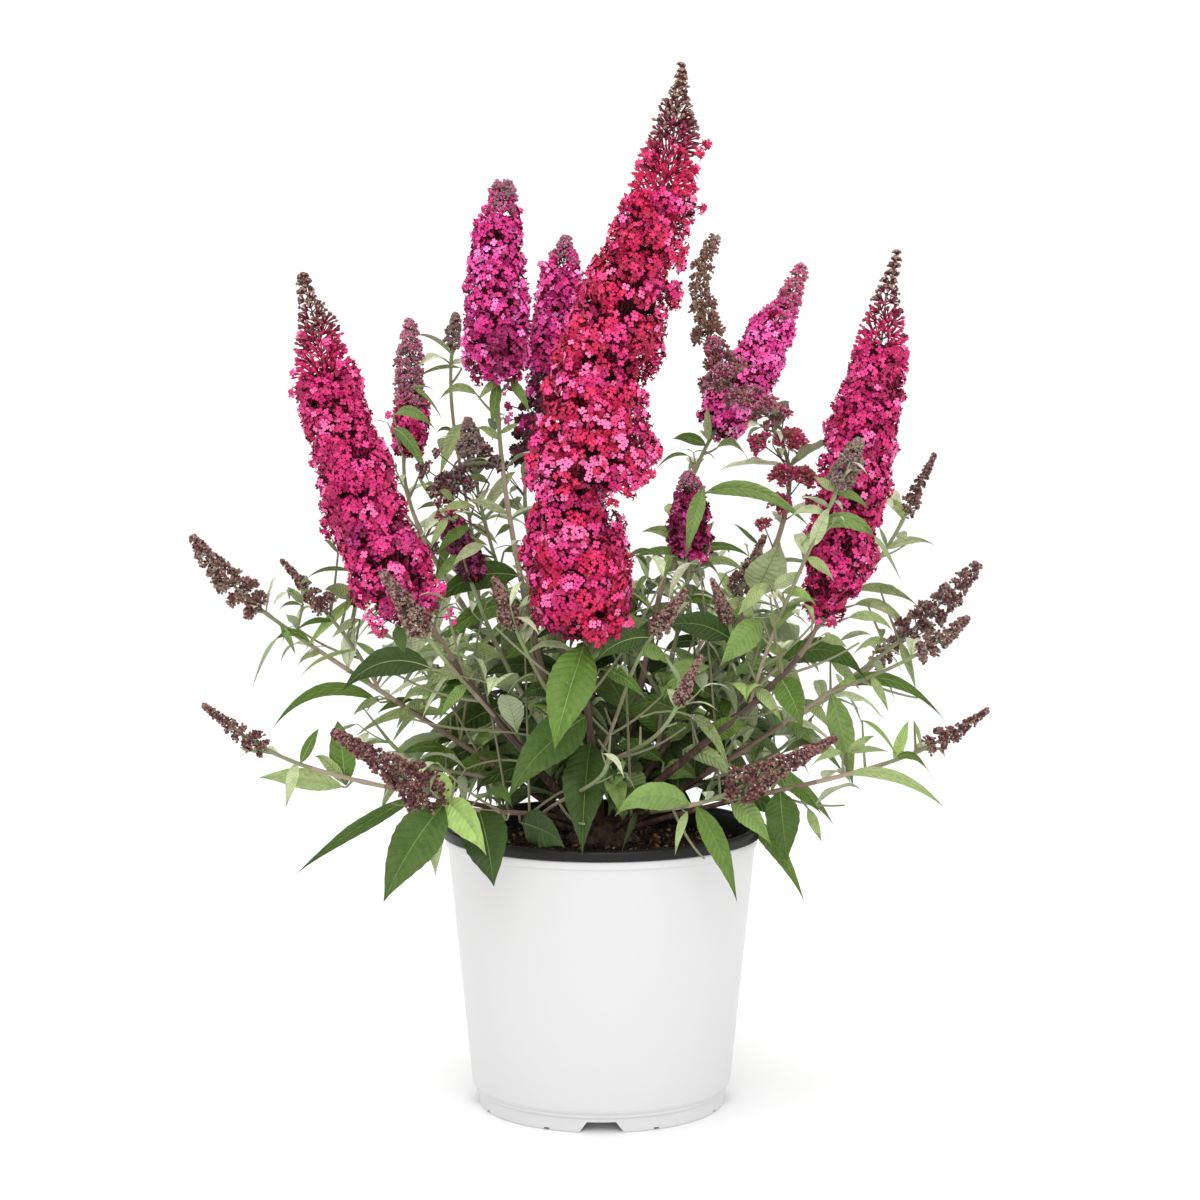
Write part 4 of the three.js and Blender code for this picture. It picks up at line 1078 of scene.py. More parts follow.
# Leaves that show most from the front: root x and z, tip x and z as seen on the plane through
# the pot's axis, width, droop, and tone by its place in LEAF_TONES. The last figure, where there
# is one, is the depth of the root behind that plane.
SHOWN_LEAVES = [
    (-111, 212, -149, 151, 30, 0.15, 1),
    (-88, 207, -75, 157, 30, 0.1, 0),
    (-113, 215, -89, 183, 21, 0.25, 4),
    (-129, 216, -201, 157, 10, 0.2, 1),
    (-118, 196, -119, 166, 10, 0.1, 6),
    (-182, 225, -248, 225, 14, 0.15, 5),
    (-217, 241, -222, 214, 8, 0.2, 6),
    (-182, 227, -187, 281, 17, 0, 2),
    (-182, 227, -211, 255, 8, 0.2, 5),
    (-216, 239, -201, 268, 7, 0, 2),
    (-205, 322, -241, 293, 6, 0.95, 2),
    (-157, 286, -234, 263, 9, 0.55, 2),
    (-120, 310, -183, 293, 19, 0.45, 0),
    (-107, 277, -173, 260, 8, 0.35, 5),
    (-68, 282, -110, 250, 23, 0.25, 1),
    (-88, 305, -128, 286, 12, 0.6, 5),
    (-70, 315, -109, 322, 8, 0.35, 5),
    (-70, 316, -38, 329, 8, 0.2, 2),
    (-10, 329, -27, 265, 30, 0.1, 2),
    (-10, 276, -59, 225, 29, 0.15, 1),
    (-7, 259, -17, 187, 30, 0.05, 0),
    (-32, 238, -88, 216, 17, 0.4, 0),
    (-66, 246, -108, 220, 12, 0.4, 2),
    (-25, 300, -90, 308, 19, 0.3, 0),
    (-58, 200, -27, 179, 23, 0.1, 0),
    (66, 217, 91, 158, 14, 0.15, 2),
    (91, 216, 114, 186, 15, 0.3, 3),
    (100, 207, 134, 156, 11, 0.25, 2),
    (129, 222, 129, 180, 23, 0.05, 1),
    (134, 223, 154, 207, 7, 0.2, 2),
    (147, 210, 154, 187, 7, 0.1, 5),
    (63, 216, 7, 212, 18, 0.3, 3),
    (70, 230, 28, 219, 15, 0.75, 3),
    (58, 252, 89, 227, 12, 0.4, 5),
    (46, 260, -1, 291, 12, 0.35, 2),
    (64, 272, 0, 276, 14, 0.5, 1),
    (63, 276, 76, 242, 9, 0.6, 5),
    (27, 318, 47, 289, 13, 0.8, 3),
    (114, 345, 89, 312, 19, 0.15, 3),
    (78, 255, 110, 272, 14, 0.3, 2),
    (126, 310, 195, 300, 17, 0.6, 1),
    (126, 313, 88, 291, 8, 0.4, 3),
    (124, 305, 140, 275, 19, 0.2, 2),
    (166, 293, 239, 265, 10, 0.6, 2),
    (163, 290, 176, 238, 17, 0.15, 3),
    (171, 230, 235, 202, 8, 0.45, 5),
    (209, 243, 231, 222, 6, 0.8, 2),
    (141, 398, 217, 369, 10, 0.85, 3),
    (72, 434, 137, 400, 11, 0.5, 3, -8),
    (72, 438, 64, 401, 11, 0.3, 3, -8),
    (62, 396, 22, 410, 8, 0.35, 5),
    (65, 393, 109, 390, 6, 0.4, 2),
    (110, 360, 130, 398, 28, 0, 6),
    (198, 394, 240, 397, 6, 0.4, 6),
    (176, 366, 220, 350, 7, 0.4, 5),
    (178, 355, 211, 329, 7, 0.6, 5),
    (38, 330, -1, 316, 15, 0.3, 0),
    (94, 330, 38, 341, 18, 0.3, 0),
    (-98, 522, -128, 514, 3, 0.3, 5),
    (-87, 503, -118, 500, 6, 0.55, 5),
    (-139, 507, -116, 508, 2, 0.15, 5),
    (-136, 510, -118, 488, 3, 0.35, 3),
    (-146, 489, -120, 474, 9, 0.6, 3, 70),
    (-146, 480, -133, 447, 9, 0.5, 2, 70),
    (-75, 513, -85, 500, 6, 0.1, 5),
    (-73, 512, -75, 485, 8, 0.05, 2),
    (-64, 514, -54, 493, 7, 0.2, 3),
    (-98, 483, -107, 454, 10, 0.4, 5),
    (-101, 479, -118, 477, 3, 0.35, 3),
    (-69, 472, -90, 483, 6, 0.15, 5),
    (-67, 475, -56, 482, 4, 0.1, 5),
    (-79, 441, -99, 445, 6, 0.35, 5),
    (-84, 421, -56, 456, 8, 0.1, 6),
    (-66, 421, -98, 429, 6, 0.1, 6),
    (-90, 414, -122, 400, 6, 0.25, 5),
    (-98, 411, -110, 380, 8, 0.4, 2),
    (-90, 414, -74, 400, 6, 0.1, 6),
    (-101, 401, -80, 397, 6, 0.1, 5),
    (-62, 410, -74, 398, 6, 0.5, 3),
    (-69, 393, -48, 389, 6, 0.35, 3),
    (-60, 374, -114, 350, 19, 0.4, 1),
    (-58, 356, -106, 325, 15, 0.4, 2),
    (-114, 426, -131, 421, 4, 0.3, 5),
    (-129, 446, -120, 429, 3, 0.1, 4),
    (-143, 463, -132, 467, 4, 0.1, 3),
    (-176, 379, -208, 373, 3, 0.3, 3),
    (-174, 360, -197, 369, 10, 0.1, 5),
    (-186, 392, -197, 405, 3, 0.1, 5),
    (-172, 362, -202, 326, 7, 0.15, 4),
    (-193, 341, -216, 338, 4, 0.25, 2),
    (-212, 355, -230, 350, 3, 0.4, 3),
    (-227, 340, -218, 323, 5, 0.1, 3),
    (-211, 356, -224, 369, 6, 0.1, 5),
    (-178, 321, -210, 306, 3, 0.2, 5),
    (-145, 341, -141, 321, 9, 0.1, 1),
    (-109, 325, -133, 309, 6, 0.6, 5),
    (-121, 340, -129, 319, 6, 0.15, 6),
    (-110, 253, -145, 244, 8, 0.3, 2),
    (-157, 316, -178, 330, 5, 0.15, 5),
    (-163, 295, -185, 310, 6, 0.2, 3),
    (-134, 288, -157, 276, 6, 0.25, 2),
    (-146, 330, -169, 337, 4, 0.2, 6),
    (74, 466, 47, 471, 8, 0.3, 2),
    (81, 466, 101, 448, 6, 0.8, 5),
    (62, 460, 41, 447, 3, 0.55, 3),
    (75, 471, 73, 497, 6, 0, 6),
    (67, 381, 106, 376, 6, 0.5, 5),
    (70, 386, 82, 377, 3, 0.3, 3),
    (112, 397, 91, 413, 3, 0, 3),
    (61, 389, 22, 391, 6, 0.2, 3),
    (50, 396, 45, 372, 6, 0.15, 4),
    (55, 364, 82, 360, 3, 0.35, 3),
    (57, 359, 87, 353, 6, 0.25, 2),
    (63, 347, 90, 335, 7, 0.25, 2),
    (118, 371, 99, 350, 10, 0.15, 5),
    (128, 364, 150, 354, 7, 0.45, 4),
    (120, 366, 144, 379, 9, 0.05, 6),
    (156, 421, 132, 418, 6, 0.35, 6),
    (144, 397, 164, 427, 9, 0, 6),
    (162, 437, 149, 446, 6, 0, 5),
    (162, 434, 185, 421, 6, 0.45, 3),
    (198, 397, 196, 411, 3, 0, 5),
    (213, 416, 205, 433, 6, 0.1, 5),
    (174, 346, 206, 338, 7, 0.35, 5),
    (169, 330, 193, 335, 4, 0.25, 6),
    (211, 330, 220, 300, 6, 0.15, 5),
    (203, 330, 180, 318, 6, 0.35, 5),
    (168, 295, 182, 305, 5, 0.1, 4),
    (185, 273, 203, 247, 3, 0.45, 4),
    (209, 245, 220, 276, 8, 0, 4),
    (174, 250, 198, 262, 6, 0.15, 5),
    (174, 250, 206, 246, 5, 0.25, 5),
    (222, 272, 228, 253, 3, 0.1, 5),
    (171, 250, 151, 238, 6, 0.35, 5),
    (130, 273, 147, 253, 8, 0.3, 3),
    (86, 252, 103, 235, 10, 0.2, 5),
    (47, 258, 67, 273, 12, 0.15, 3),
    (106, 343, 99, 361, 7, 0.05, 5),
    (93, 343, 110, 360, 6, 0.35, 3),
    (44, 243, 2, 258, 12, 0.3, 1),
    (81, 288, 54, 296, 8, 0.3, 1),
    (70, 330, 44, 322, 10, 0.3, 0),
    (-29, 295, -58, 288, 11, 0.3, 0),
    (-44, 245, -72, 255, 10, 0.2, 1),
    (27, 202, 15, 180, 11, 0.1, 0),
    (-1, 310, 27, 288, 10, 0.3, 2),
    (-90, 425, -114, 418, 6, 0.3, 5, -8),
    (-93, 410, -110, 390, 8, 0.4, 2, -8),
    (-83, 397, -101, 383, 8, 0.35, 6, -8),
    (-108, 417, -119, 397, 6, 0.2, 5, -8),
    (-98, 390, -114, 372, 8, 0.3, 3, -8),
    (-90, 387, -72, 377, 7, 0.3, 5),
    (-72, 366, -93, 383, 9, 0.3, 2),
    (-105, 429, -117, 439, 5, 0.2, 5, -8),
    (-121, 401, -125, 379, 7, 0.2, 2),
    (62, 415, 50, 425, 5, 0.2, 5),
    (70, 401, 81, 415, 5, 0.1, 6),
    (99, 359, 87, 346, 7, 0.3, 5),
    (149, 387, 160, 372, 7, 0.3, 5),
    (155, 330, 173, 322, 7, 0.4, 5),
    (162, 316, 178, 295, 8, 0.3, 5),
    (135, 330, 149, 310, 9, 0.3, 5),
    (121, 316, 138, 299, 9, 0.3, 5),
    (110, 295, 124, 276, 9, 0.3, 5),
    (145, 288, 159, 268, 8, 0.2, 5),
    (192, 302, 200, 283, 6, 0.2, 5),
    (197, 366, 212, 362, 5, 0.4, 5),
    (188, 356, 206, 343, 6, 0.4, 6),
    (-114, 359, -126, 339, 7, 0.3, 5),
    (-142, 366, -154, 347, 6, 0.2, 6),
    (-126, 288, -142, 271, 8, 0.3, 5),
    (-99, 295, -110, 276, 8, 0.3, 3),
    (-157, 288, -174, 276, 6, 0.3, 5),
    (-171, 345, -187, 330, 6, 0.3, 6),
    (-199, 323, -214, 313, 5, 0.3, 5),
]
# Stems that show from the front, with the room that leaves before them keep clear.
SHOWN_STEMS = {"spire_left": 3.5, "spire_right": 4.5, "bud_before_left": 3, "bud_right": 2.5,
               "bud_left": 2.5, "spire_centre": 4, "spire_back_right": 3, "bud_front_left": 2.5,
               "bud_right_low": 2.5, "bud_left_low": 2.5, "bud_centre_right": 2.5}
LIMBS = np.concatenate([shoot.stem.at(np.linspace(0.12 if shoot.foot else 0, 1, 60))
                        for shoot in SHOOTS])
STRAY = 5
BROAD = 24
LEAF_BEFORE_POT = 7


def nearest_limb(x, z):
    """The point on a limb that shows nearest a place, with those in front preferred."""
    gap = np.linalg.norm(seen(LIMBS) - np.array([x, z]), axis=1)
    return LIMBS[np.argmin(gap + 0.06 * (LIMBS[:, 1] + 200))]


def shown_leaf(row, twigs):
    """A leaf placed by where it shows, sprung from the limb that shows nearest its root."""
    x, z, tip_x, tip_z, width, droop, tone, *given = row
    near = root = nearest_limb(x, z)
    stray = np.linalg.norm(seen(near) - np.array([x, z]))
    if given or stray > STRAY:
        near = nearest_limb(x, z - 0.9 * stray - 4)
        root = sight(x, z, given[0] if given else near[1] + 6)
        twigs.append((Bezier(near, (near + root) / 2 - UP * 0.18 * stray, root), *BEARER_RADII))
    depth = root[1] - (36 if width > BROAD else 14)
    if tip_z < RIM_TOP + 4:
        depth = min(depth, -math.sqrt(max(0, (RIM_RADIUS + LEAF_BEFORE_POT) ** 2 - tip_x**2)))
    tip = sight(tip_x, tip_z, depth)
    length = np.linalg.norm(tip - root) * (1 + 0.3 * droop**2)
    direction = unit(tip - root + UP * length * (1.07 * droop + 0.08))
    leaf = Leaf(root, direction, 0, length, width * 1.06, droop, 0.6)
    leaf.side = unit(np.cross(FRONT, direction))
    leaf.tone = tone
    return leaf


def inner_front_leaf(random, twigs):
    """A leaf in the thick of the crown, as it shows from the front."""
    x, z = between(random, INNER_FRONT_X), between(random, INNER_FRONT_Z)
    hand = 1 if x + 60 * (random() - 0.5) > 0 else -1
    row = (x, z, x + hand * between(random, INNER_FRONT_REACH), z - 8 - 44 * random(),
           between(random, INNER_FRONT_WIDTH), 0.15 + 0.3 * random(), None)
    return shown_leaf(row, twigs)


# Open places beside the crown, as x and z of opposite corners on the same plane: only the
# leaves above show in them.
OPEN_PLACES = np.array([
    (142, 101, 284, 180), (177, 180, 283, 227), (229, 288, 282, 330), (237, 194, 283, 248),
    (213, 387, 242, 479), (-287, 144, -193, 220), (-194, 144, -149, 184), (-292, 295, -244, 350),
    (-285, 226, -232, 250), (-129, 491, -74, 515), (-82, 515, -73, 549), (94, 415, 119, 451),
    (85, 362, 101, 379), (31, 475, 66, 517), (220, 263, 243, 316), (178, 295, 197, 320),
    (200, 367, 244, 392), (-256, 277, -231, 320), (19, 429, 41, 444),
])


def in_open_place(leaf):
    """True of a leaf whose outer half shows in an open place."""
    points = seen(leaf.spine((0.6, 0.8, 1.0)))[:, None]
    return bool(((points > OPEN_PLACES[:, :2]) & (points < OPEN_PLACES[:, 2:])).all(-1).any())


def hides(leaf, guides, reaches):
    """True of a leaf that shows in front of one of the guide points."""
    points = leaf.spine((0.3, 0.5, 0.7, 0.9))
    gap = np.linalg.norm(seen(points)[:, None] - seen(guides), axis=2)
    return bool(((gap < reaches + leaf.width * 0.22)
                 & (points[:, None, 1] < guides[:, 1] + 4)).any())


def guide_points(shown):
    """Points on the shown leaves and stems, with the room to keep clear before each."""
    guides, reaches = [], []
    for leaf in shown:
        guides.append(leaf.spine((0.2, 0.4, 0.6, 0.8)))
        reaches.append(np.full(4, leaf.width * 0.3))
    for name, reach in SHOWN_STEMS.items():
        shoot = SHOOT[name]
        guides.append(shoot.stem.at(np.linspace(0.2 if shoot.foot else 0, 0.97, 40)))
        reaches.append(np.full(40, reach))
    return np.concatenate(guides), np.concatenate(reaches)


def borne(twig, roots):
    """True of a stout twig, and of a fine one that still bears a leaf."""
    curve, thick, _ = twig
    joints = curve.at([0.5, 0.67, 1.0])[:, None]
    return thick > STOUT or np.linalg.norm(joints - roots, axis=2).min() < 1


rng = np.random.default_rng(SCATTER_SEED)
fine = seeded(FINE_SEED)
twigs, leaves = [], []
for index, shoot in enumerate(SHOOTS):
    refine(index, shoot, fine, twigs, leaves)
fill_crown(fine, twigs, leaves)
leaves += [inner_front_leaf(fine, twigs) for _ in range(INNER_FRONT_LEAVES)]
shown = [shown_leaf(row, twigs) for row in SHOWN_LEAVES]
guides, reaches = guide_points(shown)
leaves = [leaf for leaf in leaves
          if not (overhangs(leaf) or in_open_place(leaf) or hides(leaf, guides, reaches))]
leaves = [leaf for leaf in leaves
          if abs(leaf.root[0]) < OUTSKIRTS or fine() < OUTSKIRTS_SHARE]
for leaf in leaves:
    leaf.tone = None
leaves += shown
roots = np.array([leaf.root for leaf in leaves])
twigs = [twig for twig in twigs if borne(twig, roots)]
for leaf in leaves:
    deal_leaf(leaf, rng)


# ---------------------------------------------------------------------------
# Florets and buds
# ---------------------------------------------------------------------------

# Five tones for each petal colour: a base, a lighter and a darker one, then the lightest as a
# painted highlight on lit lobes and the darkest as painted shade.
PETALS = {
    "rose": [(209, 32, 88), (230, 64, 132), (192, 23, 76), (243, 116, 172), (158, 18, 60)],
    "pink": [(208, 40, 114), (224, 61, 138), (190, 30, 99), (240, 107, 171), (161, 25, 83)],
    "violet": [(228, 60, 150), (242, 98, 186), (206, 44, 130), (244, 138, 208), (168, 32, 106)],
    "orchid": [(244, 90, 178), (250, 118, 198), (230, 66, 156), (254, 156, 216), (202, 50, 136)],
    "plum": [(150, 28, 92), (172, 42, 112), (128, 20, 76), (190, 60, 130), (112, 16, 64)],
    "wine": [(112, 28, 78), (142, 44, 104), (92, 22, 64), (170, 66, 132), (78, 18, 52)],
}
BLOOM_MATERIALS = [material(f"petal_{name}_{k}", colour, 0.5, 0.3)
                   for name, colours in PETALS.items() for k, colour in enumerate(colours)]
PETAL_TONES = 5
PETAL_FIRST = {name: PETAL_TONES * k for k, name in enumerate(PETALS)}
(EYE_DARK, EYE_ORANGE, TUBE_DEEP, TUBE_PINK, CORE, CALYX, TIP_BROWN, TIP_DARK, TIP_OLIVE,
 TIP_MAUVE, TIP_ROSE, TIP_RED) = range(len(BLOOM_MATERIALS), len(BLOOM_MATERIALS) + 12)
BLOOM_MATERIALS += [
    material("floret_eye_dark", (104, 14, 40), 0.7, 0.2),
    material("floret_eye_orange", (240, 118, 62), 0.6, 0.3),
    material("floret_tube_deep", (132, 26, 60), 0.6, 0.3),
    material("floret_tube_pink", (206, 52, 104), 0.55, 0.3),
    material("spike_core", (58, 20, 26), 0.85, 0.1),
    material("spike_calyx", (96, 48, 48), 0.8, 0.2),
    material("tip_brown", (150, 116, 102), 0.75, 0.2),
    material("tip_dark", (106, 70, 66), 0.75, 0.2),
    material("tip_olive", (142, 126, 96), 0.75, 0.2),
    material("tip_mauve", (160, 96, 124), 0.7, 0.2),
    material("tip_rose", (176, 66, 112), 0.65, 0.25),
    material("tip_red", (158, 58, 82), 0.7, 0.2),
]
BUD_MATERIALS = [
    material("bud_maroon", (116, 63, 70), 0.65, 0.3),
    material("bud_dark", (74, 46, 48), 0.7, 0.3),
    material("bud_brown", (142, 111, 98), 0.7, 0.3),
    material("bud_grey", (152, 134, 122), 0.75, 0.3, 0.2),
    material("bud_green", (134, 132, 98), 0.75, 0.3, 0.1),
    material("bud_pink", (182, 52, 92), 0.6, 0.3),
    material("bud_rust", (150, 118, 84), 0.75, 0.2),
    material("bud_mauve", (184, 126, 148), 0.7, 0.3, 0.1),
    material("bud_rose", (208, 98, 146), 0.65, 0.3),
    material("bud_purple", (130, 100, 112), 0.7, 0.3, 0.1),
    material("bud_wine", (86, 36, 62), 0.65, 0.3),
]
MAROON, DARK, BROWN, GREY, GREEN, PINK, RUST, MAUVE, ROSE, PURPLE, WINE = range(11)


def floret_shape():
    """A four-lobed floret of radius 1 on its tube, facing +Z. Parts: lobes, eye, tube."""
    points, faces, parts = [], [], []
    for k in range(4):
        turn = math.radians(90 * k - 45)
        points.append((0.22 * math.cos(turn), 0.22 * math.sin(turn), 0))
    for k in range(4):
        turn = math.radians(90 * k - 45)
        points.append((0.46 * math.cos(turn), 0.46 * math.sin(turn), -0.02))
    for k in range(4):
        for step, reach, height in ((-29, 0.9, 0.1), (0, 1.02, 0.04), (29, 0.9, 0.1)):
            turn = math.radians(90 * k + step)
            points.append((reach * math.cos(turn), reach * math.sin(turn), height))
    points.append((0, 0, -0.2))
    for k in range(4):
        after, lobe = (k + 1) % 4, 8 + 3 * k
        for face in ((k, 4 + k, lobe), (k, lobe, lobe + 1), (k, lobe + 1, after),
                     (after, lobe + 1, lobe + 2), (after, lobe + 2, 4 + after)):
            faces.append(face)
            parts.append(0)
        faces.append((k, after, 20))
        parts.append(1)
    for k in range(3):
        turn = math.radians(120 * k)
        points.append((0.3 * math.cos(turn), 0.3 * math.sin(turn), -0.03))
    points.append((0, 0, -2.3))
    for k in range(3):
        faces.append((21 + k, 24, 21 + (k + 1) % 3))
        parts.append(2)
    return np.array(points, float), np.array(faces), np.array(parts)


def lathe_shape(rings, sides, parts):
    """A small round shape along +Z from (radius, height) rings, pointed at both ends."""
    points = [(0, 0, rings[0][1])]
    for reach, height in rings[1:-1]:
        for k in range(sides):
            turn = 2 * math.pi * k / sides
            points.append((reach * math.cos(turn), reach * math.sin(turn), height))
    points.append((0, 0, rings[-1][1]))
    faces, owners = [], []
    belts = len(rings) - 2
    for k in range(sides):
        after = (k + 1) % sides
        faces.append((0, 1 + after, 1 + k))
        owners.append(parts[0])
        for belt in range(belts - 1):
            low, high = 1 + belt * sides, 1 + (belt + 1) * sides
            faces += [(low + k, low + after, high + after), (low + k, high + after, high + k)]
            owners += [parts[belt + 1]] * 2
        top = 1 + (belts - 1) * sides
        faces.append((top + k, top + after, len(points) - 1))
        owners.append(parts[-1])
    return np.array(points, float), np.array(faces), np.array(owners)


# Share of knobs in other petals, for a spike's lower end (True) and the rest of it.
LOWER_END = 0.28
BLENDS = {
    ("spire_inner_right", True): ("violet", 0.6), ("spire_inner_right", False): ("violet", 0.3),
    ("spire_centre", True): ("pink", 0.55), ("spire_centre", False): ("pink", 0.34),
    ("spire_back_right", True): ("violet", 0.25), ("spire_left", True): ("plum", 0.3),
    ("spire_back_left", True): ("plum", 0.22), ("spire_back", False): ("orchid", 0.45),
}
FLORET = floret_shape()
BUD = lathe_shape([(0, 0), (0.5, 0.56), (0, 1)], 4, [0, 0])
CLUB = lathe_shape([(0, 0), (0.22, 0.04), (0.28, 0.72), (0.66, 0.87), (0, 1)], 4, [0, 0, 1, 1])
PEG = lathe_shape([(0, 0), (0.5, 0.02), (0.4, 0.98), (0, 1)], 3, [0, 0, 0])
SPINE = (np.array([(0.5, 0, 0), (-0.25, 0.43, 0), (-0.25, -0.43, 0), (0, 0, 1.0)]),
         np.array([(0, 1, 3), (1, 2, 3), (2, 0, 3)]), np.array([0, 0, 0]))
SPRIG = lathe_shape([(0, 0), (0.26, 0.4), (0.5, 0.74), (0, 1)], 3, [0, 1, 1])


def swayed(shoot, share):
    """Points on a spike's axis, with the sway of its outline."""
    points = shoot.spike.at(share)
    if shoot.name in OUTLINES:
        rows = np.array(OUTLINES[shoot.name]).T
        points[..., 0] += np.interp(share, rows[0], rows[2])
    return points


def dome(facing, count, spread, rng):
    """Directions spread over a dome that faces one way."""
    east = across_stem(facing, rng.uniform(0, 6.28))
    north = np.cross(facing, east)
    k = np.arange(count) + 0.5
    height = 1 - k / count * (1 - math.cos(spread))
    level = np.sqrt(np.maximum(0, 1 - height**2))
    turn = k * GOLDEN_TURN
    return (facing * height[:, None] + east * (level * np.cos(turn))[:, None]
            + north * (level * np.sin(turn))[:, None])


def place_round(begin, k, count, stray, rng):
    """The angle of one of several places round a spike, a little out of true."""
    return begin + 2 * math.pi * (k + rng.uniform(-stray, stray)) / count


class Batch:
    """Copies of one shape, gathered before they are stamped."""

    def __init__(self):
        self.rows = []

    def put(self, places, facings, sizes, tones):
        """Copies at these places. Sizes and tones are (n, 3) and (n, parts)."""
        self.rows.append((places, facings, sizes, tones))

    def stamp(self, piece, shape, rng):
        """Stamps them all into a piece."""
        if self.rows:
            places, facings, sizes, tones = (np.concatenate(part) for part in zip(*self.rows))
            spins = rng.uniform(0, 6.28, len(places))
            stamp(piece, shape, places, facings, spins, sizes, tones)


# Added to a knob's first tone to mark it as deep in the spike, where its lobes get the darker petal
# tones as painted shade.
PAINTED_SHADE_FLAG = 1000
GOLDEN_TURN = 2.39996
SPINE_ROOM = 3.4
CORE_SIDES = 14
BUD_START = 0.02
BUD_LENGTH = (3.0, 5.6)
BUD_WIDTH = (2.1, 3.1)
BUD_SIZE = (2.3, 8.5)
KNOB_SIZE = (4.0, 9.5)
KNOB_GAPS = 0.08
EYE_DARK_SHARE = 0.6
CALYX_WIDTH = 1.9
CALYX_LENGTH = 4.0
CLUB_WIDTH = (1.8, 2.4)


class Spike:
    """Dresses one flower spike or bud spike.

    Its outline is None or rows of (share of the spike, half width, sway to the right), in mm.
    """

    def __init__(self, shoot, outline):
        self.shoot, self.curve, self.length = shoot, shoot.spike, shoot.spike.length()
        self.outline = None if outline is None else np.array(outline, float).T
        self.florets, self.buds, self.clubs, self.pegs = Batch(), Batch(), Batch(), Batch()
        self.calyces, self.spines = Batch(), Batch()

    def radius(self, share):
        """Half width of the dressed spike."""
        if self.outline is None:
            return spike_radius(self.shoot, share)
        return np.interp(share, self.outline[0], self.outline[1])

    def narrow(self, share):
        """The least half width close to a share."""
        return np.min([self.radius(share + step) for step in (-0.012, 0, 0.012)], axis=0)

    def centre(self, share):
        """Points on the middle of the dressed spike."""
        return swayed(self.shoot, share)

    def ring(self, share, turn):
        """The middle at a share, the direction there, and a direction across it."""
        along = self.curve.along(share)
        return self.centre(share), along, across_stem(along, turn)

    def peg(self, start, end, thickness):
        """A fine stalk."""
        reach = np.linalg.norm(end - start)
        self.pegs.put(start[None], (end - start)[None],
                      np.array([[thickness, thickness, reach]]), np.array([[STEM_PLUM]]))

    def cyme(self, base, facing, reach, spread, stalks, heads, rng):
        """A fan of unopened buds from one place, each on a fine stalk."""
        count = max(5, round(reach**2 * (1 - math.cos(spread))))
        ways = unit(dome(facing, count, spread, rng) + rng.normal(0, 0.1, (count, 3)))
        long = np.clip(reach * rng.uniform(0.5, 0.75, count), *BUD_LENGTH)
        wide = rng.uniform(*BUD_WIDTH, count)
        ends = np.maximum(reach * rng.uniform(0.6, 1.12, count), long * 0.8)
        self.buds.put(base + ways * (ends - long)[:, None], ways, np.stack([wide, wide, long], 1),
                      np.stack([rng.choice(stalks, count), rng.choice(heads, count)], 1))

    def knob(self, at, facing, size, floret, base, rng):
        """A dome of open florets."""
        number = max(5, round(0.185 * size**2 * (3.1 / floret) ** 2))
        ways = dome(facing, number, 1.5, rng)
        ways = ways[rng.random(number) > KNOB_GAPS]
        number = len(ways)
        places = at + ways * size * rng.uniform(0.72, 1.08, (number, 1))
        faces = ways + facing * 0.3 + rng.normal(0, 0.28, (number, 3))
        sizes = np.repeat(floret * rng.uniform(0.8, 1.15, (number, 1)), 3, axis=1)
        sizes[:, 2] *= rng.uniform(0.3, 2.0, number)
        # The fourth tone is a painted highlight and the fifth painted shade.
        tone = rng.choice(PETAL_TONES, p=[0.31, 0.22, 0.22, 0.1, 0.15])
        lobes = np.where(rng.random(number) < 0.6, tone, rng.integers(0, PETAL_TONES, number))
        # Knobs deep in the spike take the two darkest petal tones: painted shade.
        if base >= PAINTED_SHADE_FLAG:
            base, lobes = base - PAINTED_SHADE_FLAG, np.where(rng.random(number) < 0.5, 4, 2)
        eyes = np.where(rng.random(number) < EYE_DARK_SHARE, EYE_DARK, EYE_ORANGE)
        self.florets.put(places, faces, sizes,
                         np.stack([base + lobes, eyes, np.full(number, TUBE_DEEP)], 1))

    def open_florets(self, first, last, petals, floret, rng, fill):
        """Tiers of knobs of open florets round the axis, from one share to another."""
        share, begin = first, rng.uniform(0, 6.28)
        while share < last:
            reach = float(self.radius(share))
            knob = float(np.clip(reach * 0.3, *KNOB_SIZE))
            count = max(4, round(2 * math.pi * (reach - 0.7 * knob) / (1.9 * knob)))
            begin += math.pi / count + rng.uniform(-0.2, 0.2)
            for k in range(count):
                if rng.random() > fill:
                    continue
                centre, along, radial = self.ring(share, place_round(begin, k, count, 0.16, rng))
                size = knob * rng.uniform(0.74, 1.16)
                at = (centre + radial * (reach * rng.uniform(0.9, 1.07) - size * 1.12)
                      + along * knob * rng.uniform(-0.5, 0.5))
                facing = unit(radial + along * rng.uniform(-0.2, 0.3))
                other, chance = BLENDS.get((self.shoot.name, share < LOWER_END), (petals, 0))
                own = PETAL_FIRST[other if rng.random() < chance else petals]
                self.knob(at, facing, size, floret, own, rng)
                self.peg(centre, at, 0.9)
                number = round(1.1 * size)
                ways = dome(facing, number, 2.3, rng)
                self.calyces.put(at + ways * size * rng.uniform(0.3, 0.66, (number, 1)), ways,
                                 np.tile([CALYX_WIDTH, CALYX_WIDTH, CALYX_LENGTH], (number, 1)),
                                 rng.choice([CORE, CALYX, TUBE_DEEP], (number, 1)))
                # Every third knob has a smaller one deeper in, darkened with painted shade.
                if k % 3 == 0:
                    inner = self.centre(share + 0.67 * knob / self.length) + radial * reach * 0.68
                    self.knob(inner, facing, size * 0.75, floret, PETAL_FIRST[petals] + PAINTED_SHADE_FLAG, rng)
            share += 1.34 * knob / self.length

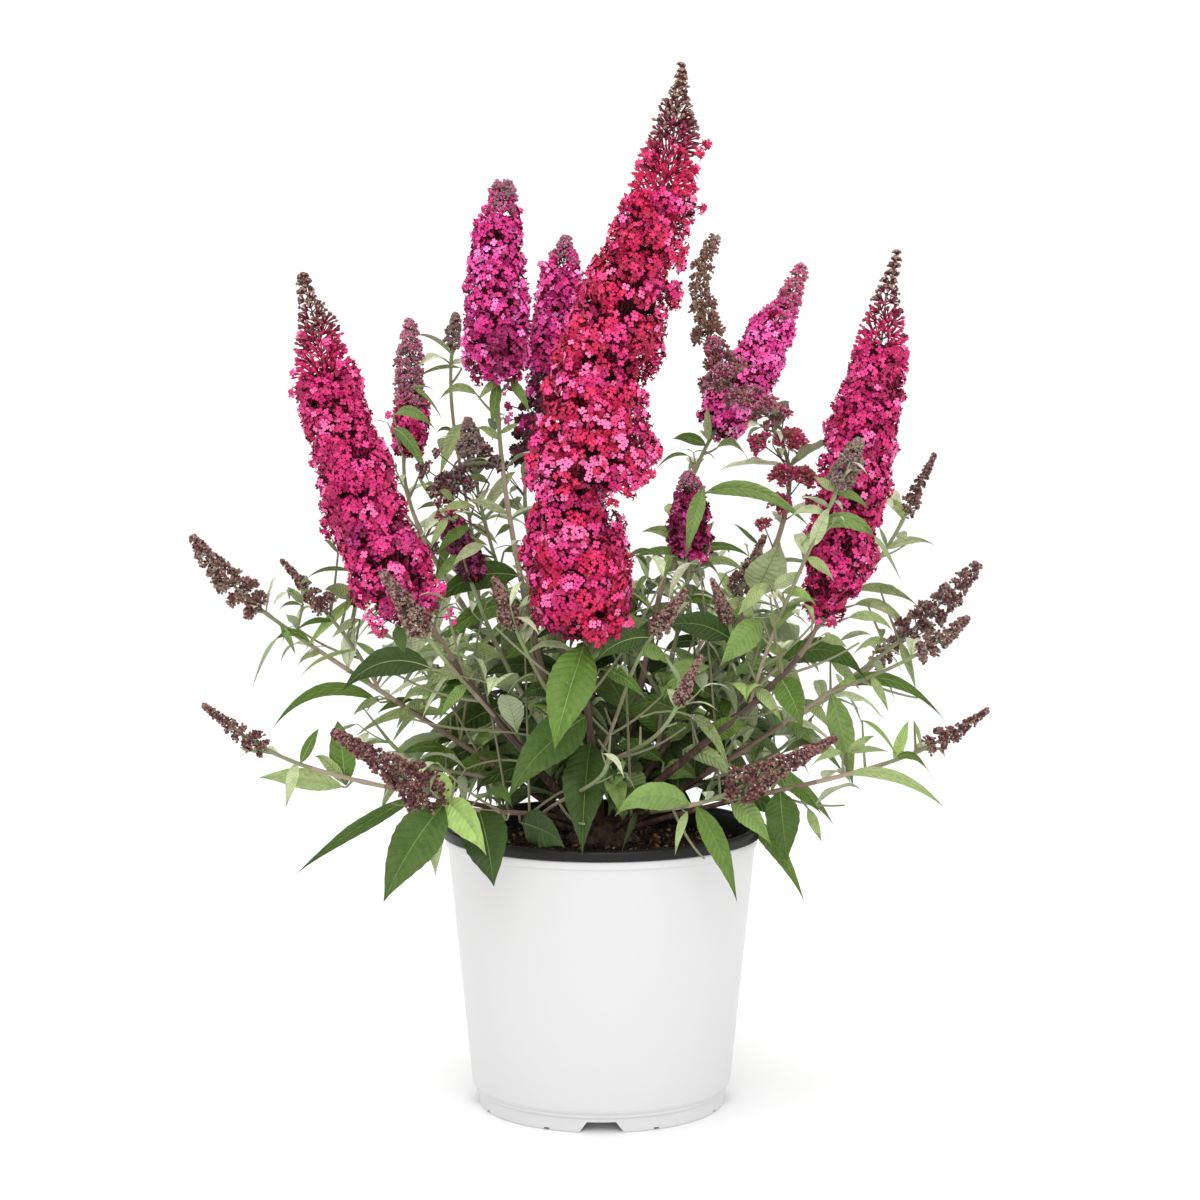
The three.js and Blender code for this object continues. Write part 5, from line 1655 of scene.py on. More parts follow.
    def tuft(self, x, z, size, petals, floret, rng, ahead=10):
        """A loose tuft of open florets, placed by where it shows, on a stalk from the spike."""
        axis = self.centre(np.linspace(0, 1, 60))
        gap = np.linalg.norm(seen(axis) - np.array([x, z]), axis=1)
        near = axis[np.argmin(gap)]
        at = sight(x, z, near[1] - ahead)
        facing = unit(unit(at - near) + np.array([0.0, -0.5, 0]))
        self.knob(at - facing * size * 0.4, facing, size, floret, PETAL_FIRST[petals], rng)
        self.peg(near + (at - near) * 0.3, at, 1.1)

    def core(self, first, last, piece, own, rng, fill):
        """The dark mass of tubes and calyces behind the florets."""
        shares = np.linspace(first, last, max(6, round((last - first) * self.length / 4)))
        radii = self.narrow(shares) * fill * rng.uniform(0.85, 1.1, len(shares))
        radii[0] *= 0.4
        relief = 1 + rng.uniform(-0.2, 0.2, (len(shares), CORE_SIDES))
        sweep(piece, self.centre(shares), radii, CORE_SIDES, CORE, relief)
        for share in np.arange(first, last, SPINE_ROOM / self.length):
            reach = float(self.narrow(share)) * fill
            count = max(4, round(2 * math.pi * reach / SPINE_ROOM))
            turns = rng.uniform(0, 6.28) + 2 * math.pi * np.arange(count) / count
            centre, along, east = self.ring(share, 0)
            north = np.cross(along, east)
            ways = east * np.cos(turns)[:, None] + north * np.sin(turns)[:, None]
            # Spines take core tones and the darker petal tones, the darkest of them painted shade.
            self.spines.put(centre + ways * reach * 0.9,
                            ways + along * 0.5 + rng.normal(0, 0.25, (count, 3)),
                            np.column_stack([np.full((count, 2), SPINE_ROOM),
                                             rng.uniform(4.5, 8, count)]),
                            rng.choice([CORE, CALYX, TUBE_DEEP, own + 4, own + 2], (count, 1)))

    def fans(self, first, last, stalks, heads, rng):
        """Fans of unopened florets and buds up to the tip, with sky between them.

        Stalks and heads are tones from the lowest fan to the highest.
        """
        share, begin = first, 0.0
        while share < last:
            reach = float(self.radius(share))
            passed = (share - first) / (last - first)
            count = int(np.clip(round(reach / 3.7), 3, 6))
            begin += math.pi / count + rng.uniform(-0.15, 0.15)
            for k in range(count):
                centre, along, radial = self.ring(share, place_round(begin, k, count, 0.12, rng))
                facing = unit(radial + along * (rng.uniform(0.4, 0.75) + 1.2 * passed**4))
                number = int(rng.integers(5, 7)) + round(reach / 5.5)
                ways = unit(dome(facing, number, 0.8, rng) + rng.normal(0, 0.06, (number, 3)))
                long = np.maximum(reach * 0.68 * rng.uniform(0.78, 1.12, number), 3.2)
                wide = rng.uniform(*CLUB_WIDTH, number)
                height = np.clip(passed + rng.normal(0, 0.09, number), 0, 0.999)
                picks = np.stack([np.array(stalks)[(height * len(stalks)).astype(int)],
                                  np.array(heads)[(height * len(heads)).astype(int)]], 1)
                fork = centre + facing * reach * 0.36
                self.peg(centre, fork, 1.1)
                at = np.repeat(fork[None], number, 0)
                self.clubs.put(at, ways, np.stack([wide, wide, long], 1), picks)
                opened = rng.random(number) < 0.3 * max(0, 0.4 - passed)
                if opened.any():
                    self.knob((at + ways * long[:, None])[opened][0], ways[0], 2.5, 2.4,
                              heads[0], rng)
            share += (4.6 + 5.4 * (1 - passed)) / self.length

    def cluster(self, x, z, size, stalks, heads, rng):
        """A side cluster of buds, placed by where it shows, on a stalk from the stem."""
        centre = sight(x, z, self.shoot.heel[1] - 12)
        carrier = np.concatenate([self.shoot.stem.at(np.linspace(0.6, 1, 40)),
                                  self.centre(np.linspace(0.05, 0.7, 40))])
        stray = np.linalg.norm(carrier - centre, axis=1).min()
        below = centre - UP * (0.8 * stray + 4)
        near = carrier[np.argmin(np.linalg.norm(carrier - below, axis=1))]
        outward = unit(centre - near)
        fork = centre - outward * size * 0.55
        self.peg(near, fork, 1.3)
        for k in range(7):
            off, back = (0.46, 1) if k < 5 else (0.12, -0.4)
            base = centre + across_stem(outward, k * 1.26 + rng.uniform(0, 0.6)) * size * off
            base = base - outward * size * rng.uniform(0.2, 0.45) * back
            self.cyme(base, unit(outward + (base - centre) / size * 0.7), size * 0.66, 1.1,
                      stalks, heads, rng)
            self.peg(fork, base, 1.0)

    def bud_spike(self, habit, rng, first=BUD_START, last=0.985):
        """Bud clusters from one share to another, in tiers that close up towards the tip."""
        swell, fill, crowd, tier, stalks, heads = habit
        share, begin = first, rng.uniform(0, 6.28)
        while share < last:
            reach = float(self.radius(share)) * (swell - (swell - 1) * share)
            size = float(np.clip(reach * fill, *BUD_SIZE))
            count = max(2, round(2 * math.pi * max(1.2, reach - size * 0.5) / (crowd * size)))
            begin += math.pi / count + rng.uniform(-0.2, 0.2)
            for k in range(count):
                centre, along, radial = self.ring(share, place_round(begin, k, count, 0.14, rng))
                centre = centre + along * size * rng.uniform(-0.25, 0.25)
                facing = unit(radial + along * rng.uniform(0.45, 0.95))
                base = centre + facing * max(0.4, (reach - size) * rng.uniform(0.75, 1.3))
                self.cyme(base, facing, size * rng.uniform(0.82, 1.12), 1.15, stalks, heads, rng)
                self.peg(centre, base, 1.0)
            share += size * tier * (1.25 - 0.4 * share) / self.length

    def finish(self, bloom_piece, bud_piece, twig_piece, rng):
        """Stamps everything into the joined pieces."""
        self.florets.stamp(bloom_piece, FLORET, rng)
        self.buds.stamp(bud_piece, SPRIG, rng)
        self.calyces.stamp(bloom_piece, BUD, rng)
        self.spines.stamp(bloom_piece, SPINE, rng)
        self.clubs.stamp(bloom_piece, CLUB, rng)
        self.pegs.stamp(twig_piece, PEG, rng)


# Outlines of spikes that show: share of the spike, half width, sway to the right.
OUTLINES = {
    "spire_centre": (
        (0, 22, -2), (0.02, 33, -3), (0.06, 37, -5), (0.13, 40.5, -9), (0.18, 37, -11),
        (0.215, 31, -13), (0.235, 25, -18), (0.25, 27, -24), (0.265, 35, -15), (0.28, 44, -7),
        (0.34, 44, -1), (0.38, 39, -5), (0.42, 37.5, -8), (0.445, 33, -13), (0.47, 39.5, -5),
        (0.535, 37, 0), (0.565, 31, -5), (0.585, 38.5, 5), (0.62, 33, 5), (0.645, 25, 0),
        (0.66, 33, 8), (0.69, 29, 9), (0.72, 23.5, 6), (0.75, 26, 13), (0.8, 22, 9),
        (0.84, 17.5, 11), (0.865, 18.5, 10), (0.9, 14.5, 7), (0.925, 9.7, 6), (0.95, 7.6, 5),
        (0.98, 5, 3), (1, 2.6, 0)),
    "spire_left": (
        (0, 10, -4), (0.05, 26, -9), (0.09, 33, -11), (0.13, 34.5, -10), (0.17, 29, -10),
        (0.285, 30, -10), (0.34, 32, -9), (0.4, 30.5, -5), (0.45, 30, -3), (0.5, 26, -4),
        (0.67, 25.5, -1), (0.72, 22, 0), (0.79, 18, 3), (0.83, 15.5, 4), (0.875, 11, 4),
        (0.92, 8.5, 3), (0.96, 7.2, 4), (1, 4, 2)),
    "spire_right": (
        (0, 11, 4), (0.03, 18, 1), (0.11, 21, 3), (0.15, 27, 4), (0.2, 25.5, 3), (0.26, 23, 2),
        (0.32, 25.5, 2), (0.41, 27.5, 0), (0.455, 25.5, -1), (0.5, 29, -1), (0.535, 25, 0),
        (0.575, 26, -2), (0.66, 22, 1), (0.74, 19.5, 0), (0.81, 14.5, -1), (0.85, 11, -2),
        (0.89, 9.2, -1), (0.93, 6.7, 0), (0.97, 5.2, 1), (1, 3, 1)),
    "spire_back_left": (
        (0, 15, 0), (0.04, 22, 0), (0.1, 26.5, -1), (0.2, 29, -1), (0.3, 28, -2), (0.5, 25, -3),
        (0.7, 20, -3), (0.8, 16.5, -2), (0.85, 14, 0), (0.9, 12, 0), (0.95, 9.5, 0), (1, 5, 0)),
    "spire_back": (
        (0, 10, -3), (0.1, 13.5, -5), (0.2, 15, -3), (0.4, 15, -1), (0.47, 19, -2), (0.55, 20, -1),
        (0.7, 18.5, -1), (0.81, 17.5, -1), (0.85, 15, 0), (0.9, 10.5, 0), (0.94, 7.5, 0),
        (1, 3.5, 0)),
    "spire_back_right": (
        (0, 16, 0), (0.1, 22, -1), (0.3, 23, 1), (0.45, 21, 1), (0.6, 18, 0), (0.66, 15, 1),
        (0.72, 12.5, 1), (0.8, 10.5, 1), (0.88, 9, 1), (0.95, 7, 0), (1, 3.5, 0)),
    "fading_spire": (
        (0, 9, 6), (0.07, 12, 5), (0.15, 17, -1), (0.24, 19, -8), (0.31, 16, -10),
        (0.39, 8, -6), (0.46, 15, -11), (0.55, 11.5, -8), (0.61, 12.5, -9), (0.68, 9, -9),
        (0.75, 9.4, -10), (0.84, 8.9, -7), (0.91, 7.3, -3), (0.97, 6, 0), (1, 2.6, 3)),
    "bud_behind_left": ((0, 14, 2), (0.2, 15, 1), (0.5, 11, 0), (0.8, 6.5, 0), (1, 2.5, 0)),
    "bud_before_right": ((0, 11, 0), (0.3, 11.5, 0), (0.6, 9, 0), (0.85, 6, 0), (1, 3, 0)),
    "bud_upper_left": ((0, 7, 0), (0.25, 8, -1), (0.6, 6, 0), (0.85, 4, 0), (1, 2, 0)),
    "bud_right": ((0, 15, 0), (0.15, 16, 0), (0.35, 14, 0), (0.6, 11, 0), (0.85, 8, 0), (1, 4, 0)),
    "bud_right_young": ((0, 10, 0), (0.2, 11, 0), (0.6, 7.5, 0), (0.85, 5, 0), (1, 2.5, 0)),
    "bud_left": ((0, 14, 0), (0.15, 15, 0), (0.4, 11.5, 0), (0.65, 9, 0), (0.85, 7, 0), (1, 3, 0)),
    "spire_inner_left": ((0, 9, 4), (0.2, 12, 3), (0.6, 10, 0), (0.85, 7, -3), (1, 3, -5)),
    "spire_far_left": (
        (0, 12, 2), (0.12, 15, 3), (0.3, 15.5, 2), (0.4, 14, 0), (0.55, 13, -2), (0.7, 12, -1),
        (0.88, 8.5, 0), (1, 4, 0)),
}
# Loose tufts of open florets on a spike: x and z on the plane of the pot's axis, reach, and
# how far they stand before the spike's axis where that isn't the usual.
TUFTS = {
    "spire_centre": ((9, 335, 4.2), (3, 332, 3.5), (74, 677, 3.1), (69, 671, 3.8),
                     (26, 664, 2.4), (32, 671, 2.1), (26, 655, 2.1), (71, 633, 3.5),
                     (66, 660, 2.6), (40, 462, 4.5), (20, 342, 4.2), (21, 432, 3.6, 18),
                     (25, 441, 4.4, 24), (31, 444, 3.6, 20), (14, 437, 4.4, 26),
                     (5, 432, 4.2, 28), (36, 448, 3.2, 18), (9, 427, 3.4, 22),
                     (33, 606, 3.6, 24), (25, 589, 4.6, 30), (17, 575, 5, 32),
                     (10, 549, 4.2, 30), (1, 524, 4.4, 35), (-7, 503, 4.6, 36),
                     (-13, 489, 4.8, 38), (-11, 473, 4.4, 38), (-15, 459, 5, 36),
                     (-18, 444, 4.2, 28)),
    "spire_back": ((-66, 507, 4.3), (-66, 487, 4.3), (-57, 482, 4.3), (-47, 479, 4.3, 18),
                   (-50, 505, 3.6, 20), (-66, 496, 2.8), (-43, 487, 3.6, 18)),
    "spire_left": ((-152, 353, 9), (-158, 338, 7.5), (-163, 346, 5.5), (-106, 347, 5.5),
                   (-117, 367, 8.5), (-125, 356, 6.5), (-165, 363, 7)),
    "spire_right": ((181, 369, 4.2), (151, 346, 4.2), (163, 343, 3.5)),
}
# Side clusters of buds on a shoot's stem: x and z on the plane of the pot's axis, and reach.
SIDE_CLUSTERS = {
    "fading_spire": ((111, 470, 9), (133, 472, 11), (128, 448, 10), (143, 446, 10),
                     (127, 428, 8.5), (148, 428, 7), (114, 413, 6), (78, 540, 6.5), (85, 521, 8),
                     (101, 500, 7), (117, 498, 7.5), (129, 492, 5.5)),
    "bud_behind_left": ((-74, 456, 8), (-82, 466, 6.5), (-109, 442, 12), (-116, 463, 5),
                        (-125, 452, 8.5), (-119, 437, 6), (-97, 452, 7), (-93, 440, 6.5),
                        (-105, 434, 8), (-98, 443, 6), (-105, 421, 4.5), (-100, 395, 7),
                        (-118, 396, 5.5)),
    "spire_back": ((-57, 461, 8), (-46, 466, 8), (-69, 453, 6.5), (-76, 458, 5),
                   (-50, 475, 7), (-43, 456, 6.5)),
    "bud_left_young": ((-199, 355, 7), (-192, 361, 6)),
}
PALE_TIPS = [TIP_MAUVE, TIP_DARK, TIP_MAUVE, TIP_BROWN, TIP_MAUVE]
ROSY_TIPS = [TIP_ROSE, TIP_ROSE, TIP_MAUVE, TIP_ROSE, TIP_MAUVE]
DARK_TIPS = [TIP_DARK, TIP_BROWN, TIP_DARK, TIP_BROWN]
BROWN_TIPS = [TIP_DARK, TIP_BROWN, TIP_DARK, TIP_OLIVE, TIP_BROWN]
# How flower spikes grow: petals, a floret's radius, the shares where open florets begin and end,
# and the tones of the tip.
BLOOM_HABITS = {
    "spire_centre": ("rose", 2.85, 0.02, 0.76, BROWN_TIPS),
    "spire_left": ("pink", 2.85, 0.02, 0.7, DARK_TIPS),
    "spire_back_left": ("violet", 2.9, 0.03, 0.8, PALE_TIPS),
    "spire_back": ("violet", 2.8, 0.44, 0.84, PALE_TIPS),
    "spire_back_right": ("orchid", 2.9, 0.03, 0.6, ROSY_TIPS),
    "spire_right": ("pink", 2.85, 0.02, 0.72, DARK_TIPS),
    "spire_far_left": ("pink", 2.7, 0.03, 0.27, PALE_TIPS),
    "spire_inner_right": ("plum", 2.8, 0.03, 0.7, PALE_TIPS),
    "spire_inner_left": ("wine", 2.8, 0.03, 0.6, DARK_TIPS),
    "spire_far_back": ("pink", 3.0, 0.03, 0.76, DARK_TIPS),
    "spire_rear_left": ("violet", 2.9, 0.03, 0.78, PALE_TIPS),
    "spire_rear_right": ("pink", 3.0, 0.03, 0.78, DARK_TIPS),
}
# Shares below which florets hang loosely, spikes with fewer florets, and how full a core is.
LOOSE_ENDS = {"spire_left": 0.19, "spire_right": 0.13, "spire_centre": 0.035}
LOOSE_FILL = 0.58
SPARSE = {"spire_inner_left": 0.6, "spire_inner_right": 0.85}
CORE_FILL = {"spire_centre": 0.48}
USUAL_CORE_FILL = 0.52
BLOOM_PIECES = {
    "blossom_centre": ["spire_centre"],
    "blossom_sides": ["spire_left", "spire_right"],
    "blossom_upper": ["spire_back_left", "spire_back", "spire_back_right", "spire_far_left"],
    "blossom_rear": ["spire_inner_right", "spire_inner_left", "spire_far_back",
                     "spire_rear_left", "spire_rear_right"],
}
OPEN_BUDS = {"bud_left", "bud_left_low", "bud_left_young", "bud_right", "bud_right_low",
             "bud_right_young", "bud_upper_right", "bud_rear_left", "bud_rear", "bud_rear_right",
             "bud_far_right"}
GREYISH = {"bud_behind_left", "bud_upper_left", "bud_before_right"}
DENSE_MAROON = {"bud_front_left", "bud_front_right"}

# How bud spikes grow: swell at the heel, a cluster's share of the spike's half width, room
# round the axis, room along it, and the tones of stalks and heads.
FADING_HABIT = (1.12, 0.6, 1.65, 1.25, [RUST, GREEN, BROWN], [BROWN, MAROON, RUST, BROWN, GREY])
FADING_LOW_HABIT = (1.1, 0.48, 1.7, 1.35, [RUST, GREEN, BROWN],
                    [MAROON, BROWN, MAUVE, MAROON, ROSE, BROWN])
FADED_HABIT = (1.0, 0.5, 1.6, 1.2, [MAROON, DARK, BROWN], [DARK, MAROON, DARK, PURPLE, WINE])
ROSY_HABIT = (1.1, 0.56, 1.75, 1.25, [MAROON, BROWN, GREEN], [ROSE, MAUVE, ROSE, PINK, MAUVE])
PALE_HABIT = (1.05, 0.5, 1.6, 1.1, [MAROON, BROWN, GREEN], [MAUVE, PURPLE, ROSE, BROWN, MAUVE])
GREYISH_HABIT = (1.1, 0.46, 1.5, 1.0, [GREEN, GREY, BROWN], [PURPLE, GREY, PURPLE, BROWN, GREEN])
DENSE_HABIT = (1.5, 0.42, 1.7, 1.15, [GREEN, BROWN, MAROON], [MAROON, BROWN, DARK, MAROON, BROWN])
OPEN_HABIT = (1.65, 0.66, 1.6, 1.2, [GREEN, BROWN, GREY], [MAROON, BROWN, DARK, BROWN])
FULL_HABIT = (1.0, 0.56, 1.6, 1.2, [GREEN, BROWN, GREY], [BROWN, MAROON, BROWN, DARK, GREY])
YOUNG_HABIT = (1.3, 0.46, 1.35, 0.85, [GREEN, GREY, BROWN], [BROWN, GREY, DARK, BROWN, MAROON])
FADING_CHANGE = 0.42


def plain_outline(shoot):
    """The outline of a flower spike that has none of its own."""
    widths = spike_radius(shoot, BLOOM_SHARES) * (1.06 - 0.3 * BLOOM_SHARES**3)
    return [(share, width, 0) for share, width in zip(BLOOM_SHARES, widths)]


def add_tips(spike, opened, own, tips, rng):
    """Unopened florets and buds from where the open florets end up to the tip."""
    if tips in (ROSY_TIPS, PALE_TIPS):
        spike.fans(opened - 0.04, min(0.97, opened + 0.14), [TUBE_PINK, TUBE_DEEP],
                   [own, own + 2, tips[0]], rng)
        spike.bud_spike(ROSY_HABIT if tips is ROSY_TIPS else PALE_HABIT, rng, opened + 0.03)
    else:
        reds = [own, own, TUBE_PINK, TIP_RED] if tips is BROWN_TIPS else [own, TUBE_PINK]
        spike.fans(opened - 0.04, 0.99, [TUBE_PINK, TUBE_DEEP, TUBE_DEEP, CALYX, tips[0]],
                   [*reds, TIP_RED, *tips], rng)


def dress_bloom(shoot, blossom, rng):
    """One flower spike: its core, open florets, side clusters, loose tufts and tip."""
    name = shoot.name
    petals, floret, first, opened, tips = BLOOM_HABITS[name]
    own = PETAL_FIRST[petals]
    spike = Spike(shoot, OUTLINES.get(name) or plain_outline(shoot))
    spike.core(max(0, first - 0.03), opened, blossom, own, rng,
               CORE_FILL.get(name, USUAL_CORE_FILL))
    if first > 0.1:
        spike.bud_spike(FADED_HABIT, rng, BUD_START, first)
        spike.open_florets(0.03, first, "plum", floret, rng, 0.22)
    for x, z, size in SIDE_CLUSTERS.get(name, ()):
        spike.cluster(x, z, size, [MAROON, DARK, BROWN], [DARK, MAROON, DARK, WINE], rng)
    loose = LOOSE_ENDS.get(name, first)
    spike.open_florets(first, loose, petals, floret, rng, LOOSE_FILL)
    spike.open_florets(loose, opened, petals, floret, rng, SPARSE.get(name, 1.0))
    for x, z, size, *ahead in TUFTS.get(name, ()):
        spike.tuft(x, z, size, petals, floret, rng, *ahead)
    add_tips(spike, opened, own, tips, rng)
    return spike


def bud_habit(name):
    """How the spike of a bud shoot grows, by the shoot's name."""
    if name in GREYISH:
        return GREYISH_HABIT
    if name in DENSE_MAROON:
        return DENSE_HABIT
    if name in OPEN_BUDS:
        return FULL_HABIT if name in OUTLINES else OPEN_HABIT
    return YOUNG_HABIT


def cluster_look(name, z):
    """Scale, and tones of stalks and heads, of a side cluster at a height on a bud shoot."""
    if name == "fading_spire":
        heads = [BROWN, MAUVE, MAROON, ROSE] if z > 485 else [PINK, MAROON, PINK, ROSE, RUST]
        return 1.15, [RUST, GREEN, MAROON], heads
    if name == "bud_behind_left":
        return 1, [GREEN, GREY, BROWN], [PURPLE, DARK, GREY, MAROON]
    return 1, [GREEN, GREY, BROWN], [BROWN, DARK, GREY, MAROON]


def dress_bud(shoot, rng):
    """One bud spike with its side clusters."""
    spike = Spike(shoot, OUTLINES.get(shoot.name))
    if shoot.name == "fading_spire":
        spike.bud_spike(FADING_LOW_HABIT, rng, BUD_START, FADING_CHANGE)
        spike.bud_spike(FADING_HABIT, rng, FADING_CHANGE)
    else:
        spike.bud_spike(bud_habit(shoot.name), rng)
    for x, z, size in SIDE_CLUSTERS.get(shoot.name, ()):
        scale, stalks, heads = cluster_look(shoot.name, z)
        spike.cluster(x, z, size * scale, stalks, heads, rng)
    return spike


bud_pieces = [Piece(f"flower_buds_{side}", "flower_bud", MASSES, BUD_MATERIALS)
              for side in ("left", "right")]
stem_piece = Piece("stems_and_twigs", "bark", MASSES, STEM_MATERIALS)
for piece_name, spires in BLOOM_PIECES.items():
    blossom = Piece(piece_name, "blossom", MASSES, BLOOM_MATERIALS)
    for name in spires:
        spike = dress_bloom(SHOOT[name], blossom, rng)
        spike.finish(blossom, bud_pieces[SHOOT[name].heel[0] > 0], stem_piece, rng)
    blossom.build()
for shoot in SHOOTS:
    if shoot.kind == "bud":
        spike = dress_bud(shoot, rng)
        spike.finish(None, bud_pieces[shoot.heel[0] > 0], stem_piece, rng)
for bud_piece in bud_pieces:
    bud_piece.build()


# ---------------------------------------------------------------------------
# Stems, twigs and leaves
# ---------------------------------------------------------------------------

DARK_STEMS = {"spire_centre", "spire_left", "spire_right"}
STEM_JOINT = 34
JOINT_SWELL = 0.22
JOINT_REACH = 2.5

# Leaves by length: the piece, its least and greatest length, its rows and columns of points,
# and whether its leaves have midribs.
LEAF_CLASSES = [
    ("leaves_large", 58, math.inf, 22, 9, True),
    ("leaves_middling", 32, 58, 16, 5, True),
    ("leaves_small", 0, 32, 9, 3, False),
]


def stem_tones(shoot, passed):
    """Tones along a stem, from its woody foot to its green end."""
    if shoot.name in DARK_STEMS:
        return np.where(passed < 0.75, STEM_PLUM, STEM_BROWN)
    if shoot.foot:
        return np.where(passed < 0.4, STEM_BROWN, np.where(passed < 0.75, STEM_TAN, STEM_OLIVE))
    return np.where(passed < 0.4, STEM_TAN, np.where(passed < 0.8, STEM_OLIVE, STEM_GREEN))


def add_stem(piece, shoot):
    """A shoot's stem, swollen at its joints, and the axis of its spike."""
    length = shoot.stem.length() * (1 - shoot.fork)
    shares = np.linspace(shoot.fork, 1, max(8, round(length / 6.5)))
    passed = (shares - shoot.fork) / (1 - shoot.fork)
    radii = stem_radius(shoot, shoot.fork + (1 - shoot.fork) * passed**1.5)
    joints = max(2, round(length / STEM_JOINT))
    for k in range(1, joints + 1):
        off = (shares - joint_share(shoot, k, joints, 0.2)) * shoot.stem.length() / JOINT_REACH
        radii = radii * (1 + JOINT_SWELL * np.exp(-(off**2)))
    sweep(piece, shoot.stem.at(shares), radii, 7, stem_tones(shoot, passed[1:]))
    shares = np.linspace(0, 0.985, max(6, round(shoot.spike.length() / 8)))
    sweep(piece, swayed(shoot, shares), 1.3 - 0.9 * shares, 5, STEM_OLIVE)


for shoot in SHOOTS:
    add_stem(stem_piece, shoot)
for curve, thick, thin in twigs:
    steps, sides, tone = (7, 5, STEM_OLIVE) if thick > STOUT else (5, 4, STEM_GREEN)
    shares = np.linspace(0, 1, steps)
    sweep(stem_piece, curve.at(shares), thick + (thin - thick) * shares, sides, tone)
stem_piece.build()

for name, least, most, rows, columns, ribbed in LEAF_CLASSES:
    leaf_piece = Piece(name, "foliage", MASSES, LEAF_MATERIALS)
    chosen = [leaf for leaf in leaves if least <= leaf.length < most]
    add_leaves(leaf_piece, chosen, rows, columns, ribbed, rng)
    leaf_piece.build()


# ---------------------------------------------------------------------------
# Woody crown and canes
# ---------------------------------------------------------------------------

bark = material("bark", (104, 80, 68), 0.8, 0.25)
fissures = noise(bark, 260.0, 5.0, 0.65, (1, 1, 0.22))
tinted(bark, fissures, [(0.3, (44, 32, 28)), (0.52, (82, 62, 52)), (0.75, (126, 102, 84))])
add_bump(bark, fissures, 0.0008)
CANE_SIDES = 12
CROWN_SIDES = 72
# Outline of the woody crown: share of its radius, and height.
CROWN_OUTLINE = np.array([
    (1.0, 0), (0.93, 2.5), (0.84, 5), (0.7, 10), (0.52, 14.5), (0.28, 16.6), (0.02, 17.2)])


def add_cane(piece, shoot, rng):
    """A tapering cane with ridged bark, run a little way into its shoot's stem."""
    length = shoot.stem.length()
    shares = np.linspace(0, shoot.fork + 1.5 / length, max(12, round(length * shoot.fork / 3)))
    turns = np.arange(CANE_SIDES) * 2 * math.pi / CANE_SIDES
    places = shares[:, None] * length
    relief = (1 + 0.05 * np.sin(3 * turns + places / 9) + 0.04 * np.sin(5 * turns - places / 5)
              + rng.uniform(-0.035, 0.035, (len(shares), CANE_SIDES)))
    sweep(piece, shoot.stem.at(shares), cane_radius(shoot, shares), CANE_SIDES, 0, relief)


cane_piece = Piece("canes", "bark", [f"cane_{shoot.name}" for shoot in CANES], [bark])
for shoot in CANES:
    add_cane(cane_piece, shoot, rng)
cane_piece.build()

crown_piece = Piece("woody_crown", "bark", ["root_crown"], [bark])
turns = np.arange(CROWN_SIDES) * 2 * math.pi / CROWN_SIDES
lumps = 0.09 * np.sin(5 * turns + 1) + 0.06 * np.sin(9 * turns) + 0.04 * np.sin(17 * turns + 2)
share, rise = CROWN_OUTLINE[:, 0, None], CROWN_OUTLINE[:, 1, None]
reach = CROWN_RADIUS * share * (1 + lumps * (1 - rise / 20))
reach = reach * (1 + rng.uniform(-0.015, 0.015, reach.shape)) * 0.96
points = np.stack([reach * np.cos(turns), reach * np.sin(turns),
                   np.broadcast_to(SOIL_TOP - 1.5 + rise, reach.shape)], axis=-1)
crown_piece.add(points.reshape(-1, 3), grid(len(CROWN_OUTLINE), CROWN_SIDES, True), 0)
crown_piece.build()


# ---------------------------------------------------------------------------
# Pot, rim and soil
# ---------------------------------------------------------------------------


def wall_radius(height):
    """Outside of the sloping wall at a height."""
    slope = (WALL_TOP_RADIUS - SHOULDER_RADIUS) / (WALL_TOP - SHOULDER_HEIGHT)
    return SHOULDER_RADIUS + slope * (height - SHOULDER_HEIGHT)


def filleted(profile, fillets):
    """A closed [radius, height] profile, rounded at the corners that are given a fillet."""
    rounded = []
    count = len(profile)
    for k, corner in enumerate(profile):
        corner = np.array(corner, float)
        before, after = np.array(profile[k - 1], float), np.array(profile[(k + 1) % count], float)
        fillet = fillets.get(k, 0)
        if not fillet:
            rounded.append(corner)
            continue
        first, second = unit(before - corner), unit(after - corner)
        cut = min(fillet, 0.45 * np.linalg.norm(before - corner),
                  0.45 * np.linalg.norm(after - corner))
        start, end = corner + first * cut, corner + second * cut
        for share in np.linspace(0, 1, 5):
            rounded.append((1 - share) ** 2 * start + 2 * share * (1 - share) * corner
                           + share**2 * end)
    return np.array(rounded)


def turned_piece(name, slot, nodes, made, profile, turns, lift=None):
    """A closed solid of revolution. Points marked in the profile's third column are lifted."""
    piece = Piece(name, slot, nodes, [made])
    reach, height = profile[:, 0, None], np.broadcast_to(profile[:, 1, None],
                                                         (len(profile), len(turns)))
    if lift is not None:
        height = np.where(profile[:, 2, None] > 0, np.maximum(height, lift), height)
    points = np.stack([reach * np.cos(turns), reach * np.sin(turns), height], axis=-1)
    count = len(turns)
    shell = grid(len(profile), count, True)
    last = (len(profile) - 1) * count
    place = np.arange(count)
    closing = np.stack([last + place, last + (place + 1) % count, (place + 1) % count, place], 1)
    piece.add(points.reshape(-1, 3), np.concatenate([shell, closing]), 0)
    return piece


white = material("white_plastic", (207, 207, 207), 0.34, 0.45)
cloud = noise(white, 9.0, 3.0)
join_shader(white, "Roughness", node(white, "ShaderNodeMapRange", {
    "Value": cloud, "To Min": 0.3, "To Max": 0.42}).outputs[0])
add_bump(white, noise(white, 1500.0, 2.0), 0.00004)

